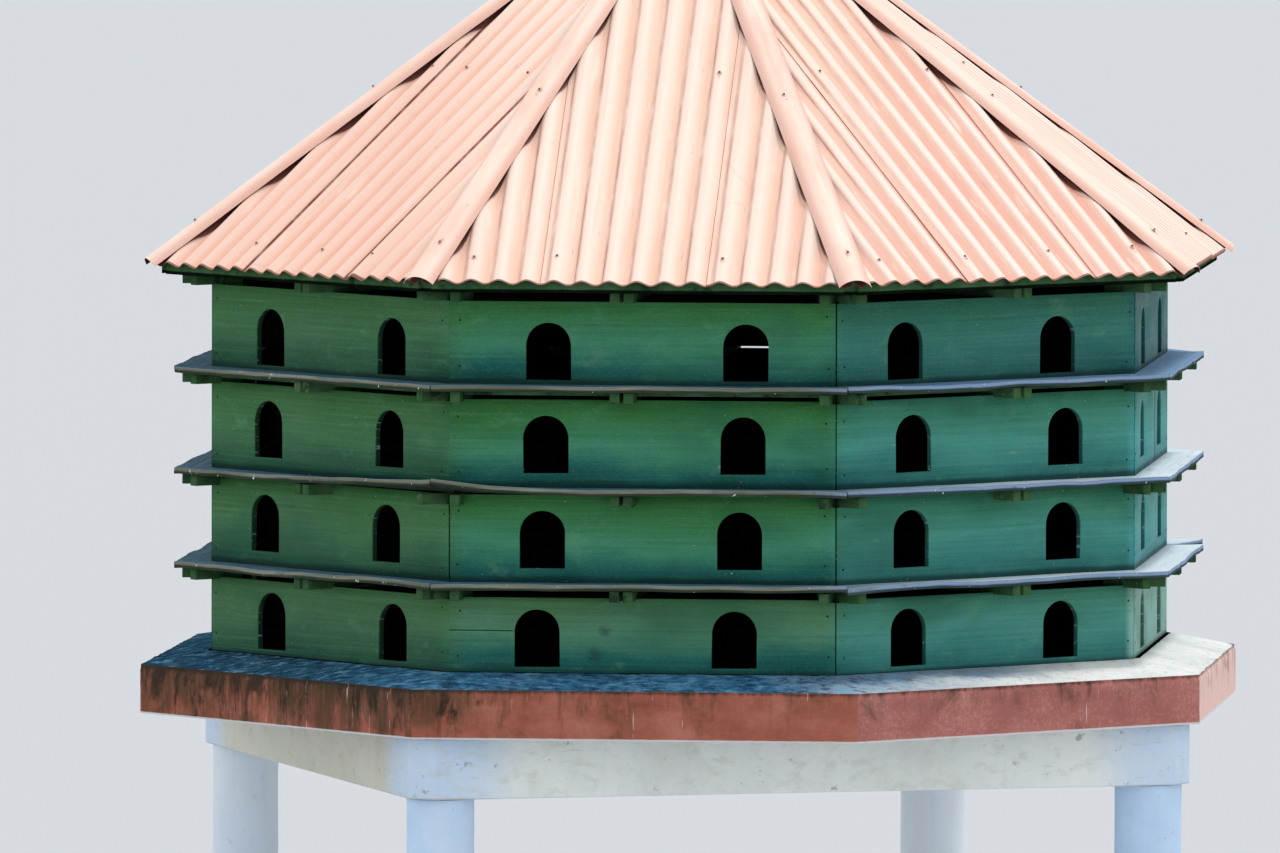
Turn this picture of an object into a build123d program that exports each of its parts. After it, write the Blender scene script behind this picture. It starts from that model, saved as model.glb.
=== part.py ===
from build123d import *
import math
import os

# Dovecote on four round concrete columns: an octagonal loft of painted boards in four
# tiers, a landing ledge between the tiers, and an eight-sided corrugated sheet roof.
# Millimetres. Z = 0 is the ground, Z points up and the front face looks along -Y.

# Plan
SIDES = 8
WALL_FACE = 1070.0            # length of one wall face, measured outside

# Concrete base
COLUMN_HEIGHT = 2090.0        # ground to the underside of the ring beam
COLUMN_DIAMETER = 190.0
COLUMN_INSET = 110.0          # column centre inside the beam's chamfered corner
BEAM_DEPTH = 170.0
BEAM_WIDTH = 180.0
BEAM_CHAMFER = 80.0           # width of the flat cut across each corner of the ring
BEAM_SETBACK = 50.0           # slab corner to the chamfer, along the radius
SLAB_EDGE = 138.0             # height of the painted slab edge
SLAB_MARGIN = 190.0           # slab edge outside the wall face
SLAB_FALL = 36.0              # the slab's top falls this much from the wall to the edge
SLAB_LEVEL_STRIP = 12.0       # level strip outside the wall before the fall starts

# Timber loft, its tiers counted upwards
LEDGE_TOPS = (247.0, 509.0, 793.0)    # top of each ledge above the slab
TOP_BOARD_HEIGHT = 229.0
BOARD_GAPS = (24.0, 3.0, 24.0)        # open gap from a board's top up to the ledge over it
BOARD_THICKNESS = 18.0
BOARD_SEAM = 4.0              # open seam between two boards at a corner
JOIST_HEIGHT = 30.0
JOIST_WIDTH = 27.0
JOIST_PAIR_GAP = 11.0
JOIST_REACH = 84.0            # how far a joist end stands out of the wall
JOIST_TAIL = 340.0            # how far a middle joist runs inside the wall
JOIST_PAIR_SHIFTS = (-50.0, 60.0, 0.0, -30.0, 40.0, 0.0, 25.0, -20.0)    # one for each side
END_JOIST_FROM_CORNER = 12.0
LEDGE_THICKNESS = 17.0
LEDGE_REACH = 100.0           # ledge edge outside the wall face
LEDGE_PLANK = 140.0           # full width of a ledge plank
LEDGE_SEAM = 4.0
SHELF_DEPTH = 330.0           # nesting shelf from the wall to the open middle
SHELF_SEAM = 1.0
NEST_BACK = 12.0              # boards that close the nesting bays towards the open middle
NEST_BACK_CLEAR = 3.0         # from the top of such a board up to the joists over it
MISSING_NEST_BACK = (0, 3)    # side and tier of one that is gone: daylight shows there
BATTEN_HEIGHT = 13.0          # strip under the top ledge, between the joists
BATTEN_DEPTH = 17.0             # no deeper than the board, clear of the corner posts
POST_WIDTH = 60.0
POST_DEPTH = 50.0
FIT = 0.3                     # clearance where one piece is seated on another

# Pigeon holes
HOLE_WIDTH = 125.0
HOLE_HEIGHT = 158.0
HOLE_SPACING = 545.0          # between the two holes of a board
HOLE_SILLS = (15.0, 40.0, 40.0, 12.0)     # sill above the tier's floor
HOLE_SHIFTS = (-18.0, -4.0, 5.0, 12.0)    # hand cut, so each pair sits a little off the middle

# Roof
EAVE_OVERHANG = 156.0         # eave edge outside the wall face
EAVE_RISE = 57.0              # sheet middle at the eave, above the top board
ROOF_RISE = 1115.0            # eave to the point where the eight planes meet
SHEET_PITCH = 76.2
SHEET_DEPTH = 17.0            # trough to crest
SHEET_THICKNESS = 0.8
SHEET_HIP_GAP = 6.0           # sheet edge to the hip's middle plane
SHEET_TOP_RADIUS = 70.0       # the sheets stop this far from the axis
SHEET_STEPS = 8               # straight steps in one wave
HIP_CAP_WIDTH = 92.0
HIP_CAP_CROWN = 14.0          # crown above the line where the crests would meet
HIP_CAP_THICKNESS = 1.0
HIP_CAP_OVERHANG = 8.0        # past the sheet's eave edge
HIP_CAP_TOP_RADIUS = 120.0
APEX_CAP_RADIUS = 210.0
APEX_CAP_THICKNESS = 1.2
RAFTER_WIDTH = 40.0
RAFTER_DEPTH = 45.0
RAFTER_TAIL = 28.0            # rafter end inside the eave corner
HUB_RADIUS = 75.0
HUB_DEPTH = 120.0
RAIL_WIDTH = 40.0
RAIL_SETBACK = 20.0           # eave rail's outer face inside the eave edge
PURLIN_RADIUS = 760.0         # distance of the middle purlin from the axis
PURLIN_WIDTH = 40.0
PURLIN_DEPTH = 30.0

# Derived plan sizes. An apothem is the distance from the axis to the middle of a side.
STEP = 360.0 / SIDES
HALF = math.radians(STEP / 2)
wall_out = WALL_FACE / 2 / math.tan(HALF)
wall_in = wall_out - BOARD_THICKNESS
ledge_out = wall_out + LEDGE_REACH
ledge_in = ledge_out - LEDGE_PLANK
shelf_in = wall_in - SHELF_DEPTH
slab_out = wall_out + SLAB_MARGIN
eave_out = wall_out + EAVE_OVERHANG
slab_corner = slab_out / math.cos(HALF)
eave_corner = eave_out / math.cos(HALF)

# Derived heights
beam_top = COLUMN_HEIGHT + BEAM_DEPTH
slab_top = beam_top + SLAB_EDGE + SLAB_FALL
tier_floor = [slab_top] + [slab_top + top for top in LEDGE_TOPS]
ledge_under = [floor - LEDGE_THICKNESS for floor in tier_floor[1:]]
wall_top = tier_floor[-1] + TOP_BOARD_HEIGHT
board_top = [under - gap for under, gap in zip(ledge_under, BOARD_GAPS)] + [wall_top]
eave_z = wall_top + EAVE_RISE

# Derived roof angles
roof_slope = math.atan2(ROOF_RISE, eave_out)
hip_slope = math.atan2(ROOF_RISE, eave_corner)
wave = (SHEET_DEPTH - SHEET_THICKNESS) / 2
face_normal_x = math.sin(roof_slope) * math.sin(HALF)
face_normal_n = (math.sin(roof_slope) * math.cos(HALF) * math.sin(hip_slope)
                 + math.cos(roof_slope) * math.cos(hip_slope))
hip_fall = face_normal_x / face_normal_n       # fall of a roof plane across the hip

FACE_NAMES = ["front", "front_right", "right", "back_right",
              "back", "back_left", "left", "front_left"]
QUARTER_NAMES = ["front", "right", "back", "left"]


def ring(shape, count=SIDES, first=0.0):
    """Copies of a shape turned about the axis, one for each side."""
    return [Rot(0, 0, first + 360.0 / count * n) * shape for n in range(count)]


def prism(points, bottom, top):
    """Upright prism on a closed outline."""
    outline = make_face(Polyline(*points, close=True))
    return Pos(0, 0, bottom) * extrude(outline, top - bottom, dir=(0, 0, 1))


def side_plank(inner, outer, bottom, top, seam):
    """One mitred plank of an eight-sided ring, on the front side."""
    trim = seam / 2 / math.cos(HALF)
    half_in = inner * math.tan(HALF) - trim
    half_out = outer * math.tan(HALF) - trim
    return prism([(-half_in, -inner), (half_in, -inner),
                  (half_out, -outer), (-half_out, -outer)], bottom, top)


def octagon(apothem, bottom, top):
    radius = apothem / math.cos(HALF)
    shape = extrude(RegularPolygon(radius, SIDES), top - bottom)
    return Pos(0, 0, bottom) * Rot(0, 0, STEP / 2) * shape


def box_between(low, high):
    size = [b - a for a, b in zip(low, high)]
    return Pos(*low) * Box(*size, align=(Align.MIN, Align.MIN, Align.MIN))


def keep(node, solids):
    """Writes one node, as one solid or as several that don't touch."""
    solids = solids if isinstance(solids, list) else [solids]
    flat = [s for piece in solids for s in piece.solids()]
    export_step(Compound(children=flat) if len(flat) > 1 else flat[0], f"parts/{node}.step")


# Concrete base
def columns():
    chamfer_radius = slab_corner - BEAM_SETBACK
    radius = chamfer_radius - COLUMN_INSET
    column = Pos(0, -radius, 0) * Cylinder(
        COLUMN_DIAMETER / 2, COLUMN_HEIGHT, align=(Align.CENTER, Align.CENTER, Align.MIN))
    return ring(column, 4, -STEP / 2)


def beams():
    """Four beams under the slab, mitred at the columns and chamfered across the corner."""
    chamfer_radius = slab_corner - BEAM_SETBACK
    sharp_corner = chamfer_radius + BEAM_CHAMFER / 2
    outer = sharp_corner / math.sqrt(2)
    inner = outer - BEAM_WIDTH
    cut = BEAM_CHAMFER / math.sqrt(2)
    beam = prism([(-inner, -inner), (inner, -inner), (outer - cut / 2, -(outer - cut / 2)),
                  (outer - cut, -outer), (-(outer - cut), -outer),
                  (-(outer - cut / 2), -(outer - cut / 2))], COLUMN_HEIGHT, beam_top)
    return ring(beam, 4, STEP / 2)


def slab():
    """Octagonal slab whose margin falls from the wall to the painted edge."""
    level = wall_out + SLAB_LEVEL_STRIP
    body = octagon(slab_out, beam_top, beam_top + SLAB_EDGE)
    lower = Plane((0, 0, beam_top + SLAB_EDGE)) * Rot(0, 0, STEP / 2) * RegularPolygon(
        slab_corner, SIDES)
    upper = Plane((0, 0, slab_top)) * Rot(0, 0, STEP / 2) * RegularPolygon(
        level / math.cos(HALF), SIDES)
    return body + loft([lower.face(), upper.face()])


# Timber loft
def hole_cutter(x, base):
    """Upright arched cutter through a front board."""
    radius = HOLE_WIDTH / 2
    straight = HOLE_HEIGHT - radius
    outline = make_face([
        Line((x - radius, base), (x + radius, base)),
        Line((x + radius, base), (x + radius, base + straight)),
        ThreePointArc((x + radius, base + straight), (x, base + HOLE_HEIGHT),
                      (x - radius, base + straight)),
        Line((x - radius, base + straight), (x - radius, base)),
    ])
    face = Plane((0, -wall_out - BOARD_THICKNESS, 0), x_dir=(1, 0, 0), z_dir=(0, -1, 0)) * outline
    return extrude(face, 3 * BOARD_THICKNESS, dir=(0, 1, 0))


def pair_spans(side):
    """Start and end of the two middle joists, along one side."""
    middle = JOIST_PAIR_SHIFTS[side]
    near = JOIST_PAIR_GAP / 2
    far = near + JOIST_WIDTH
    return [(middle - far, middle - near), (middle + near, middle + far)]


def end_spans():
    """Start and end of the two short joists, along one side."""
    outer = WALL_FACE / 2 - END_JOIST_FROM_CORNER
    return [(-outer, -outer + JOIST_WIDTH), (outer - JOIST_WIDTH, outer)]


def joists(top, side):
    """Joist ends of one side: a pair near the middle and one short one near each corner."""
    bottom = top - JOIST_HEIGHT
    outer = -(wall_out + JOIST_REACH)
    middle = [box_between((low, outer, bottom), (high, -wall_in + JOIST_TAIL, top))
              for low, high in pair_spans(side)]
    ends = [box_between((low, outer, bottom), (high, -wall_in, top)) for low, high in end_spans()]
    return [Rot(0, 0, STEP * side) * joist for joist in middle + ends]


def all_joists(top):
    return [joist for side in range(SIDES) for joist in joists(top, side)]


def joist_rooms(top, side):
    """The notches that let the joists of one side into the front board below them."""
    outer = WALL_FACE / 2 + JOIST_WIDTH
    spans = [(low - FIT, high + FIT) for low, high in pair_spans(side)]
    spans.append((-outer, end_spans()[0][1] + FIT))
    spans.append((end_spans()[1][0] - FIT, outer))
    return [box_between((low, -wall_out - FIT, top - JOIST_HEIGHT - FIT), (high, -wall_in + FIT, top))
            for low, high in spans]


def wall_board(tier, face):
    """Board of one tier, with two pigeon holes and its notches for the joists above."""
    floor = tier_floor[tier]
    board = side_plank(wall_in, wall_out, floor, board_top[tier], BOARD_SEAM)
    shift = HOLE_SHIFTS[(tier + face) % len(HOLE_SHIFTS)]
    for sign in (-1, 1):
        board -= hole_cutter(shift + sign * HOLE_SPACING / 2, floor + HOLE_SILLS[tier])
    if tier < len(ledge_under):
        for room in joist_rooms(ledge_under[tier], face):
            board -= room
    return board


def nest_back(tier):
    """Board that stands on the inner edge of the front shelf, below the next joists."""
    joist = (ledge_under[tier] if tier < len(ledge_under) else wall_top + JOIST_HEIGHT) - JOIST_HEIGHT
    return side_plank(shelf_in, shelf_in + NEST_BACK, tier_floor[tier], joist - NEST_BACK_CLEAR, SHELF_SEAM)


def post_outline(grow=0.0):
    """Plan of the front corner post, turned to the front. It stands in the wall's corner."""
    outer = wall_in / math.cos(HALF) - POST_WIDTH / 2 * math.tan(HALF) - FIT
    half = POST_WIDTH / 2 + grow
    return [(-half, -outer - grow), (half, -outer - grow),
            (half, -outer + POST_DEPTH + grow), (-half, -outer + POST_DEPTH + grow)]


def battens(under, side):
    """Two thin strips under the ledge of one side, flush with the board and between joists."""
    spans = [(end_spans()[0][1] + FIT, pair_spans(side)[0][0] - FIT),
             (pair_spans(side)[1][1] + FIT, end_spans()[1][0] - FIT)]
    strips = [box_between((low, -wall_out, under - BATTEN_HEIGHT), (high, -wall_out + BATTEN_DEPTH, under))
              for low, high in spans]
    return [Rot(0, 0, STEP * side) * strip for strip in strips]


# Roof
def rafter_top(x):
    """Height of the trough's underside over the hip line, square to the hip, x beside it."""
    return -(wave + SHEET_THICKNESS / 2) / face_normal_n - x * hip_fall


def on_roof(shape):
    """Puts a piece drawn flat, with +Y up the slope, on the front roof plane."""
    return Pos(0, -eave_out, eave_z) * Rot(math.degrees(roof_slope), 0, 0) * shape


def on_hip(shape):
    """Puts a piece drawn flat, with +Y up the hip, on a hip turned to the front."""
    return Pos(0, -eave_corner, eave_z) * Rot(math.degrees(hip_slope), 0, 0) * shape


def roof_sheet():
    """Corrugated sheet of the front roof plane, cut along both hips."""
    steps = int(math.ceil(eave_out * math.tan(HALF) / SHEET_PITCH)) * SHEET_STEPS
    xs = [n * SHEET_PITCH / SHEET_STEPS for n in range(-steps, steps + 1)]
    heights = [wave * math.cos(2 * math.pi * x / SHEET_PITCH) for x in xs]
    half = SHEET_THICKNESS / 2
    upper = [(x, h + half) for x, h in zip(xs, heights)]
    lower = [(x, h - half) for x, h in zip(xs, heights)]
    profile = make_face(Polyline(*upper, *reversed(lower), close=True))
    length = math.hypot(eave_out, ROOF_RISE)
    flat = extrude(Plane.XZ * profile, length, dir=(0, 1, 0))
    edge = SHEET_HIP_GAP / math.sin(HALF)
    reach = 1.2 * eave_out
    inner = SHEET_TOP_RADIUS
    wedge = prism([((inner - edge) * math.tan(HALF), -inner),
                   ((reach - edge) * math.tan(HALF), -reach),
                   (-(reach - edge) * math.tan(HALF), -reach),
                   (-(inner - edge) * math.tan(HALF), -inner)],
                  wall_top, eave_z + 2 * ROOF_RISE)
    return on_roof(flat) & wedge


def hip_cap():
    """Half-round cap along one hip, seated on the crests of both sheets."""
    crest = (wave + SHEET_THICKNESS / 2) / face_normal_n
    half = HIP_CAP_WIDTH / 2
    edge = crest - half * hip_fall + FIT
    crown = crest + HIP_CAP_CROWN
    profile = make_face([
        ThreePointArc((-half, edge), (0, crown), (half, edge)),
        Line((half, edge), (half, edge + HIP_CAP_THICKNESS)),
        ThreePointArc((half, edge + HIP_CAP_THICKNESS), (0, crown + HIP_CAP_THICKNESS),
                      (-half, edge + HIP_CAP_THICKNESS)),
        Line((-half, edge + HIP_CAP_THICKNESS), (-half, edge)),
    ])
    length = (eave_corner - HIP_CAP_TOP_RADIUS) / math.cos(hip_slope)
    flat = extrude(Plane.XZ * profile, length + HIP_CAP_OVERHANG, dir=(0, 1, 0))
    return on_hip(Pos(0, -HIP_CAP_OVERHANG, 0) * flat)


def apex_cap():
    """Plain cone over the upper ends of the eight hip caps."""
    crown = (wave + SHEET_THICKNESS / 2) / face_normal_n + HIP_CAP_CROWN + HIP_CAP_THICKNESS
    apex = eave_z + ROOF_RISE
    under = apex + (crown + FIT) / math.cos(hip_slope)
    over = under + APEX_CAP_THICKNESS / math.cos(hip_slope)
    drop = APEX_CAP_RADIUS * math.tan(hip_slope)
    profile = make_face(Polyline((0, under), (APEX_CAP_RADIUS, under - drop),
                                 (APEX_CAP_RADIUS, over - drop), (0, over), close=True))
    return revolve(Plane.XZ * profile, Axis.Z)


def hub():
    apex = eave_z + ROOF_RISE
    under_sheet = (wave + SHEET_THICKNESS) / math.cos(roof_slope)
    top = apex - HUB_RADIUS / math.cos(HALF) * math.tan(roof_slope) - under_sheet
    return octagon(HUB_RADIUS, top - HUB_DEPTH, top)


def rafter():
    """Hip rafter from the hub to its tail under the eave corner."""
    half = RAFTER_WIDTH / 2
    top = rafter_top(half) - FIT
    start = RAFTER_TAIL / math.cos(hip_slope)
    end = (eave_corner - HUB_RADIUS) / math.cos(hip_slope)
    beam = on_hip(box_between((-half, start, top - RAFTER_DEPTH), (half, end + RAFTER_DEPTH, top)))
    room = Rot(0, 0, STEP / 2) * octagon(HUB_RADIUS + FIT, wall_top, eave_z + 2 * ROOF_RISE)
    behind = box_between((-eave_out, 0, wall_top), (eave_out, eave_out, eave_z + 2 * ROOF_RISE))
    return beam - room - behind


def post():
    """Corner post, cut to the slope of the rafter that it carries."""
    top = rafter_top(RAFTER_WIDTH / 2) - FIT - RAFTER_DEPTH
    under = on_hip(box_between((-eave_out, -eave_out, top - FIT),
                                              (eave_out, 2 * eave_out, 2 * eave_out)))
    return prism(post_outline(), slab_top, eave_z + ROOF_RISE) - under


def rail():
    """Eave rail of one side, on the joist ends and under the sheet."""
    outer = eave_out - RAIL_SETBACK
    inner = outer - RAIL_WIDTH
    trim = (RAFTER_WIDTH / 2 + FIT) / math.cos(HALF)
    bottom = wall_top + JOIST_HEIGHT
    sheet = eave_z + RAIL_SETBACK * math.tan(roof_slope)
    top = sheet - (wave + SHEET_THICKNESS / 2) / math.cos(roof_slope) - FIT
    return prism([(-(inner * math.tan(HALF) - trim), -inner),
                  (inner * math.tan(HALF) - trim, -inner),
                  (outer * math.tan(HALF) - trim, -outer),
                  (-(outer * math.tan(HALF) - trim), -outer)], bottom, top)


def purlin():
    """Middle purlin of one side, between two hip rafters."""
    top = -(wave + SHEET_THICKNESS / 2) - FIT
    start = (eave_out - PURLIN_RADIUS) / math.cos(roof_slope)
    flat = box_between((-eave_out, start, top - PURLIN_DEPTH), (eave_out, start + PURLIN_WIDTH, top))
    trim = (RAFTER_WIDTH / 2 + FIT) / math.sin(HALF)
    reach = 1.2 * eave_out
    wedge = prism([(0, -trim), (-(reach - trim) * math.tan(HALF), -reach),
                   ((reach - trim) * math.tan(HALF), -reach)], wall_top, eave_z + 2 * ROOF_RISE)
    return on_roof(flat) & wedge


def build():
    os.makedirs("parts", exist_ok=True)
    for name, column in zip(QUARTER_NAMES, columns()):
        keep(f"column_{name}", column)
    for name, beam in zip(QUARTER_NAMES, beams()):
        keep(f"beam_{name}", beam)
    keep("platform_slab", slab())

    for face, name in enumerate(FACE_NAMES):
        boards = [wall_board(tier, face) for tier in range(len(tier_floor))]
        keep(f"wall_{name}", [Rot(0, 0, STEP * face) * board for board in boards])

    keep("corner_posts", ring(post(), first=STEP / 2))
    post_room = [Rot(0, 0, STEP * side + STEP / 2) * prism(post_outline(FIT), slab_top, wall_top)
                 for side in (-1, 0)]
    for level, under in enumerate(ledge_under, start=1):
        top = under + LEDGE_THICKNESS
        keep(f"joists_{level}", all_joists(under))
        plank = side_plank(ledge_in, ledge_out, under, top, LEDGE_SEAM)
        shelf = side_plank(shelf_in, ledge_in - SHELF_SEAM, under, top, SHELF_SEAM)
        for room in post_room:
            plank -= room
            shelf -= room
        keep(f"ledge_{level}", ring(plank))
        keep(f"shelf_{level}", ring(shelf))
    keep("joists_eave", all_joists(wall_top + JOIST_HEIGHT))
    keep("nest_backs", [Rot(0, 0, STEP * side) * nest_back(tier) for side in range(SIDES)
                        for tier in range(len(tier_floor)) if (side, tier) != MISSING_NEST_BACK])
    keep("ledge_battens", [strip for side in range(SIDES) for strip in battens(ledge_under[-1], side)])

    keep("eave_rail", ring(rail()))
    keep("purlins", ring(purlin()))
    keep("roof_hub", hub())
    keep("hip_rafters", ring(rafter(), first=STEP / 2))
    sheet = roof_sheet()
    for face, name in enumerate(FACE_NAMES):
        keep(f"roof_{name}", Rot(0, 0, STEP * face) * sheet)
    keep("hip_caps", ring(hip_cap(), first=STEP / 2))
    keep("apex_cap", apex_cap())


build()
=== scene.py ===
# %% [markdown]
# A dovecote of painted boards stands on four limewashed concrete columns. This notebook
# loads the exact CAD model as a fixed frame, and then dresses it: each board, ledge and
# sheet that can be seen is modelled again with its bevels, dents, laps and nails, and
# gets a painted and weathered finish. Every piece keeps the place that the CAD gave it.

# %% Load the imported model
import math
import random

import bmesh
import bpy
import numpy as np
from mathutils import Matrix, Vector


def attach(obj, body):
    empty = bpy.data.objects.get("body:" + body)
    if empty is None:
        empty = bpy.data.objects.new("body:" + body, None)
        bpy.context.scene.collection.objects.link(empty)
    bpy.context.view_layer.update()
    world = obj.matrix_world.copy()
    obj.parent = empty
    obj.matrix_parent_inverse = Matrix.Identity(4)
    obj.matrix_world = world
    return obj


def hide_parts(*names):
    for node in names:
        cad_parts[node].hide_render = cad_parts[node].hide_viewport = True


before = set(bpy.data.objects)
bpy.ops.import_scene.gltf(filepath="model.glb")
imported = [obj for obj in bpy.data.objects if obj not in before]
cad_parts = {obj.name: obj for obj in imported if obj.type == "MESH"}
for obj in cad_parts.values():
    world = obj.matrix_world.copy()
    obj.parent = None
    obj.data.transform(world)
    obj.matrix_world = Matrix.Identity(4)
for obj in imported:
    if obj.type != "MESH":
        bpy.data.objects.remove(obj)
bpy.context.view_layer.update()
chance = random.Random(11)

# %% [markdown]
# The loft is a regular octagon, so most of it is drawn once for the front side and turned
# round to the other seven. The plan sizes below come from the part and are in metres. An
# apothem is the distance from the upright axis to the middle of a side.

# %% The plan and the heights
MM = 0.001
SIDES = 8
STEP = math.tau / SIDES
HALF = STEP / 2
SIDE_NAMES = ["front", "front_right", "right", "back_right",
              "back", "back_left", "left", "front_left"]
QUARTER_NAMES = ["front", "right", "back", "left"]
wall_out = 535 * MM / math.tan(HALF)
slab_top = 2434 * MM
tier_floors = [slab_top + rise * MM for rise in (0, 247, 509, 793)]
print("wall apothem", round(wall_out, 4), "tier floors", [round(z, 3) for z in tier_floors])

# %% [markdown]
# A finish is a tree of shader nodes. Written out node by node, such a tree is long and
# hard to follow, so a node's output is wrapped in a small class here. Plain sums on it,
# such as height + cloud * 0.5, add the nodes that do them, and its methods add noise,
# colour ramps and layers of colour. A finish then reads like a painter's recipe.

# %% Helpers for finishes
def srgb(red, green, blue):
    """A colour as a paint chart gives it, turned into the light values that shaders use."""
    return tuple(((c / 255 + 0.055) / 1.055) ** 2.4 if c > 10 else c / 255 / 12.92
                 for c in (red, green, blue)) + (1.0,)


def node(tree, kind, result, feed=None, **settings):
    """Adds a shader node, sets it up, feeds its inputs, and gives one of its outputs."""
    made = tree.nodes.new("ShaderNode" + kind)
    for name, value in settings.items():
        setattr(made, name, value)
    for name, value in (feed or {}).items():
        if isinstance(value, Surface):
            tree.links.new(value.socket, made.inputs[name])
        else:
            made.inputs[name].default_value = value
    return Surface(made.outputs[result])


class Surface:
    """A number, place or colour that varies over a surface: one output of a shader node."""

    def __init__(self, socket):
        self.socket = socket

    def node(self, kind, result, feed, **settings):
        return node(self.socket.id_data, kind, result, feed, **settings)

    def math(self, operation, other=0.0):
        return self.node("Math", "Value", {0: self, 1: other}, operation=operation)

    def __add__(self, other):
        return self.math("ADD", other)

    def __sub__(self, other):
        return self.math("SUBTRACT", other)

    def __mul__(self, other):
        return self.math("MULTIPLY", other)

    def __truediv__(self, other):
        return self.math("DIVIDE", other)

    def __abs__(self):
        return self.math("ABSOLUTE")

    def band(self, low, high, end=1.0, start=0.0):
        """Eases from start, where this value is low, to end, where it is high."""
        feed = {"Value": self, "From Min": low, "From Max": high, "To Min": start, "To Max": end}
        return self.node("MapRange", "Result", feed, interpolation_type="SMOOTHSTEP")

    def within(self, rise, fall):
        """One between two places, with a soft rise before it and a soft fall after it."""
        return self.band(*rise) * self.band(*reversed(fall))

    def axis(self, letter):
        return self.node("SeparateXYZ", letter, {"Vector": self})

    x = property(lambda self: self.axis("X"))
    y = property(lambda self: self.axis("Y"))
    z = property(lambda self: self.axis("Z"))

    def stretched(self, *scale):
        """A place whose pattern is packed closer along the axes with a high scale."""
        return self.node("Mapping", "Vector", {"Vector": self, "Scale": scale})

    def noise(self, scale, detail=4.0, roughness=0.55, distortion=0.0):
        feed = {"Vector": self, "Scale": scale, "Detail": detail,
                "Roughness": roughness, "Distortion": distortion}
        return self.node("TexNoise", "Fac", feed)

    def ramp(self, *stops):
        """Colours along this value. A stop is a position with its red, green and blue."""
        made = self.node("ValToRGB", "Color", {"Fac": self})
        elements = made.socket.node.color_ramp.elements
        for _ in stops[2:]:
            elements.new(0.5)
        for element, (position, *colour) in zip(elements, stops):
            element.position = position
            element.color = srgb(*colour)
        return made

    def lay(self, share, colour, kind="MIX"):
        """Lays a colour over this one, as much as share says."""
        over = colour if isinstance(colour, Surface) else srgb(*colour)
        feed = {0: share, 6: self, 7: over}
        return self.node("Mix", 2, feed, data_type="RGBA", blend_type=kind)

    def bump(self, distance, strength=1.0):
        feed = {"Height": self, "Distance": distance, "Strength": strength}
        return self.node("Bump", "Normal", feed)


class Finish:
    """A material in the making, with its node tree and its shader."""

    def __init__(self, name, roughness=0.7, metallic=0.0, shine=0.12):
        self.material = bpy.data.materials.new(name)
        self.material.use_nodes = True
        self.tree = self.material.node_tree
        self.inputs = self.tree.nodes["Principled BSDF"].inputs
        self.inputs["Roughness"].default_value = roughness
        self.inputs["Metallic"].default_value = metallic
        self.inputs["Specular IOR Level"].default_value = shine

    def written(self, name, result="Fac"):
        """What the model has written on its points under a name."""
        return node(self.tree, "Attribute", result, attribute_name=name)

    def own_place(self):
        """Where a point lies on its own piece: along it, out of the wall, and up."""
        return self.written("place", "Vector")

    def object_place(self):
        return node(self.tree, "TexCoord", "Object")

    def coat(self, colour, normal=None, roughness=None):
        """Joins the colour, and what else is given, to the shader."""
        for name, value in (("Base Color", colour), ("Normal", normal), ("Roughness", roughness)):
            if value is not None:
                self.tree.links.new(value.socket, self.inputs[name])
        return self.material


print("finish helpers ready")

# %% [markdown]
# The boards carry a sea-green paint that has faded unevenly. Each board is greener just
# under the ledge above it, paler in the middle, and dark teal above its own ledge; this
# change up a board is partly paint and partly painted shade. The colour also turns from
# yellow-green on the left to grey-teal on the right, and that is painted light: the
# sides towards the light are painted paler and bluer. An image of paint could do this,
# but it would repeat and blur, so colour ramps over the board's own height are used, one
# for each part of the wall. A pair of places such as LEFT_CORNER says where one part
# gives way to the next, in metres across the object, or up it for the tiers.

# %% Wall paint, by board and side
LEFT_CORNER = (-0.46, -0.58)
RIGHT_CORNER = (0.5, 0.57)
FAR_CORNER = (1.265, 1.288)
BOARD_RISE = 0.245
TOP_TIER = (3.19, 3.23)
FIRST_TIER = (2.66, 2.63)


def side_colours(level, across):
    """Ramps up a board, partly painted shade, which change where the wall turns a corner; the paler
    right-hand ones are painted light.
    """
    front = level.ramp((0.0, 10, 78, 72), (0.16, 26, 100, 92), (0.42, 66, 140, 108),
                       (0.8, 58, 126, 68), (1.0, 50, 112, 50))
    left = level.ramp((0.0, 26, 78, 60), (0.18, 46, 98, 68), (0.5, 68, 120, 78),
                      (0.85, 64, 118, 64), (1.0, 54, 106, 52))
    right = level.ramp((0.0, 34, 102, 100), (0.22, 56, 130, 123), (0.5, 73, 151, 137),
                       (0.85, 58, 132, 104), (1.0, 46, 114, 84))
    far = level.ramp((0.0, 50, 134, 140), (0.4, 76, 164, 160), (1.0, 58, 132, 112))
    colour = front.lay(across.band(*LEFT_CORNER), left)
    colour = colour.lay(across.band(*RIGHT_CORNER), right)
    return colour.lay(across.band(*FAR_CORNER), far)


def tier_colours(colour, level, across, first_tier, top_tier):
    """Painted shade under the eave at the top tier, and on the lowest one paler, greyer paint that
    is painted light.
    """
    colour = colour.lay(top_tier * across.band(*RIGHT_CORNER, 0.4), (28, 78, 68))
    colour = colour.lay(top_tier * across.band(*FAR_CORNER, 0.4), (20, 70, 76))
    low_tier_painted_light = first_tier * level.band(0.15, 0.5, 0.24)
    low_tier_painted_light = low_tier_painted_light * across.band(-0.5, -0.56, 0.3, start=1.0)
    low_tier_painted_light = low_tier_painted_light * across.band(*RIGHT_CORNER, 0.2, start=1.0)
    colour = colour.lay(low_tier_painted_light, (124, 140, 116))
    # Painted light: the far side's lowest tier is paler still.
    return colour.lay(first_tier * across.band(*FAR_CORNER, 0.5), (172, 204, 184))


print("side and tier colours ready")

# %% [markdown]
# Over that lies the wear of the years: grain and pores that show through thin paint,
# pale and dark blotches, scuffs, damp at each board's foot, and white flecks, most of
# them round the holes. Each is a noise of its own size, stretched along the grain,
# and only its highest or lowest values lay on a colour.

# %% Wall paint, wear and dirt
HOLE_MIDDLE = 0.2725


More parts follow.
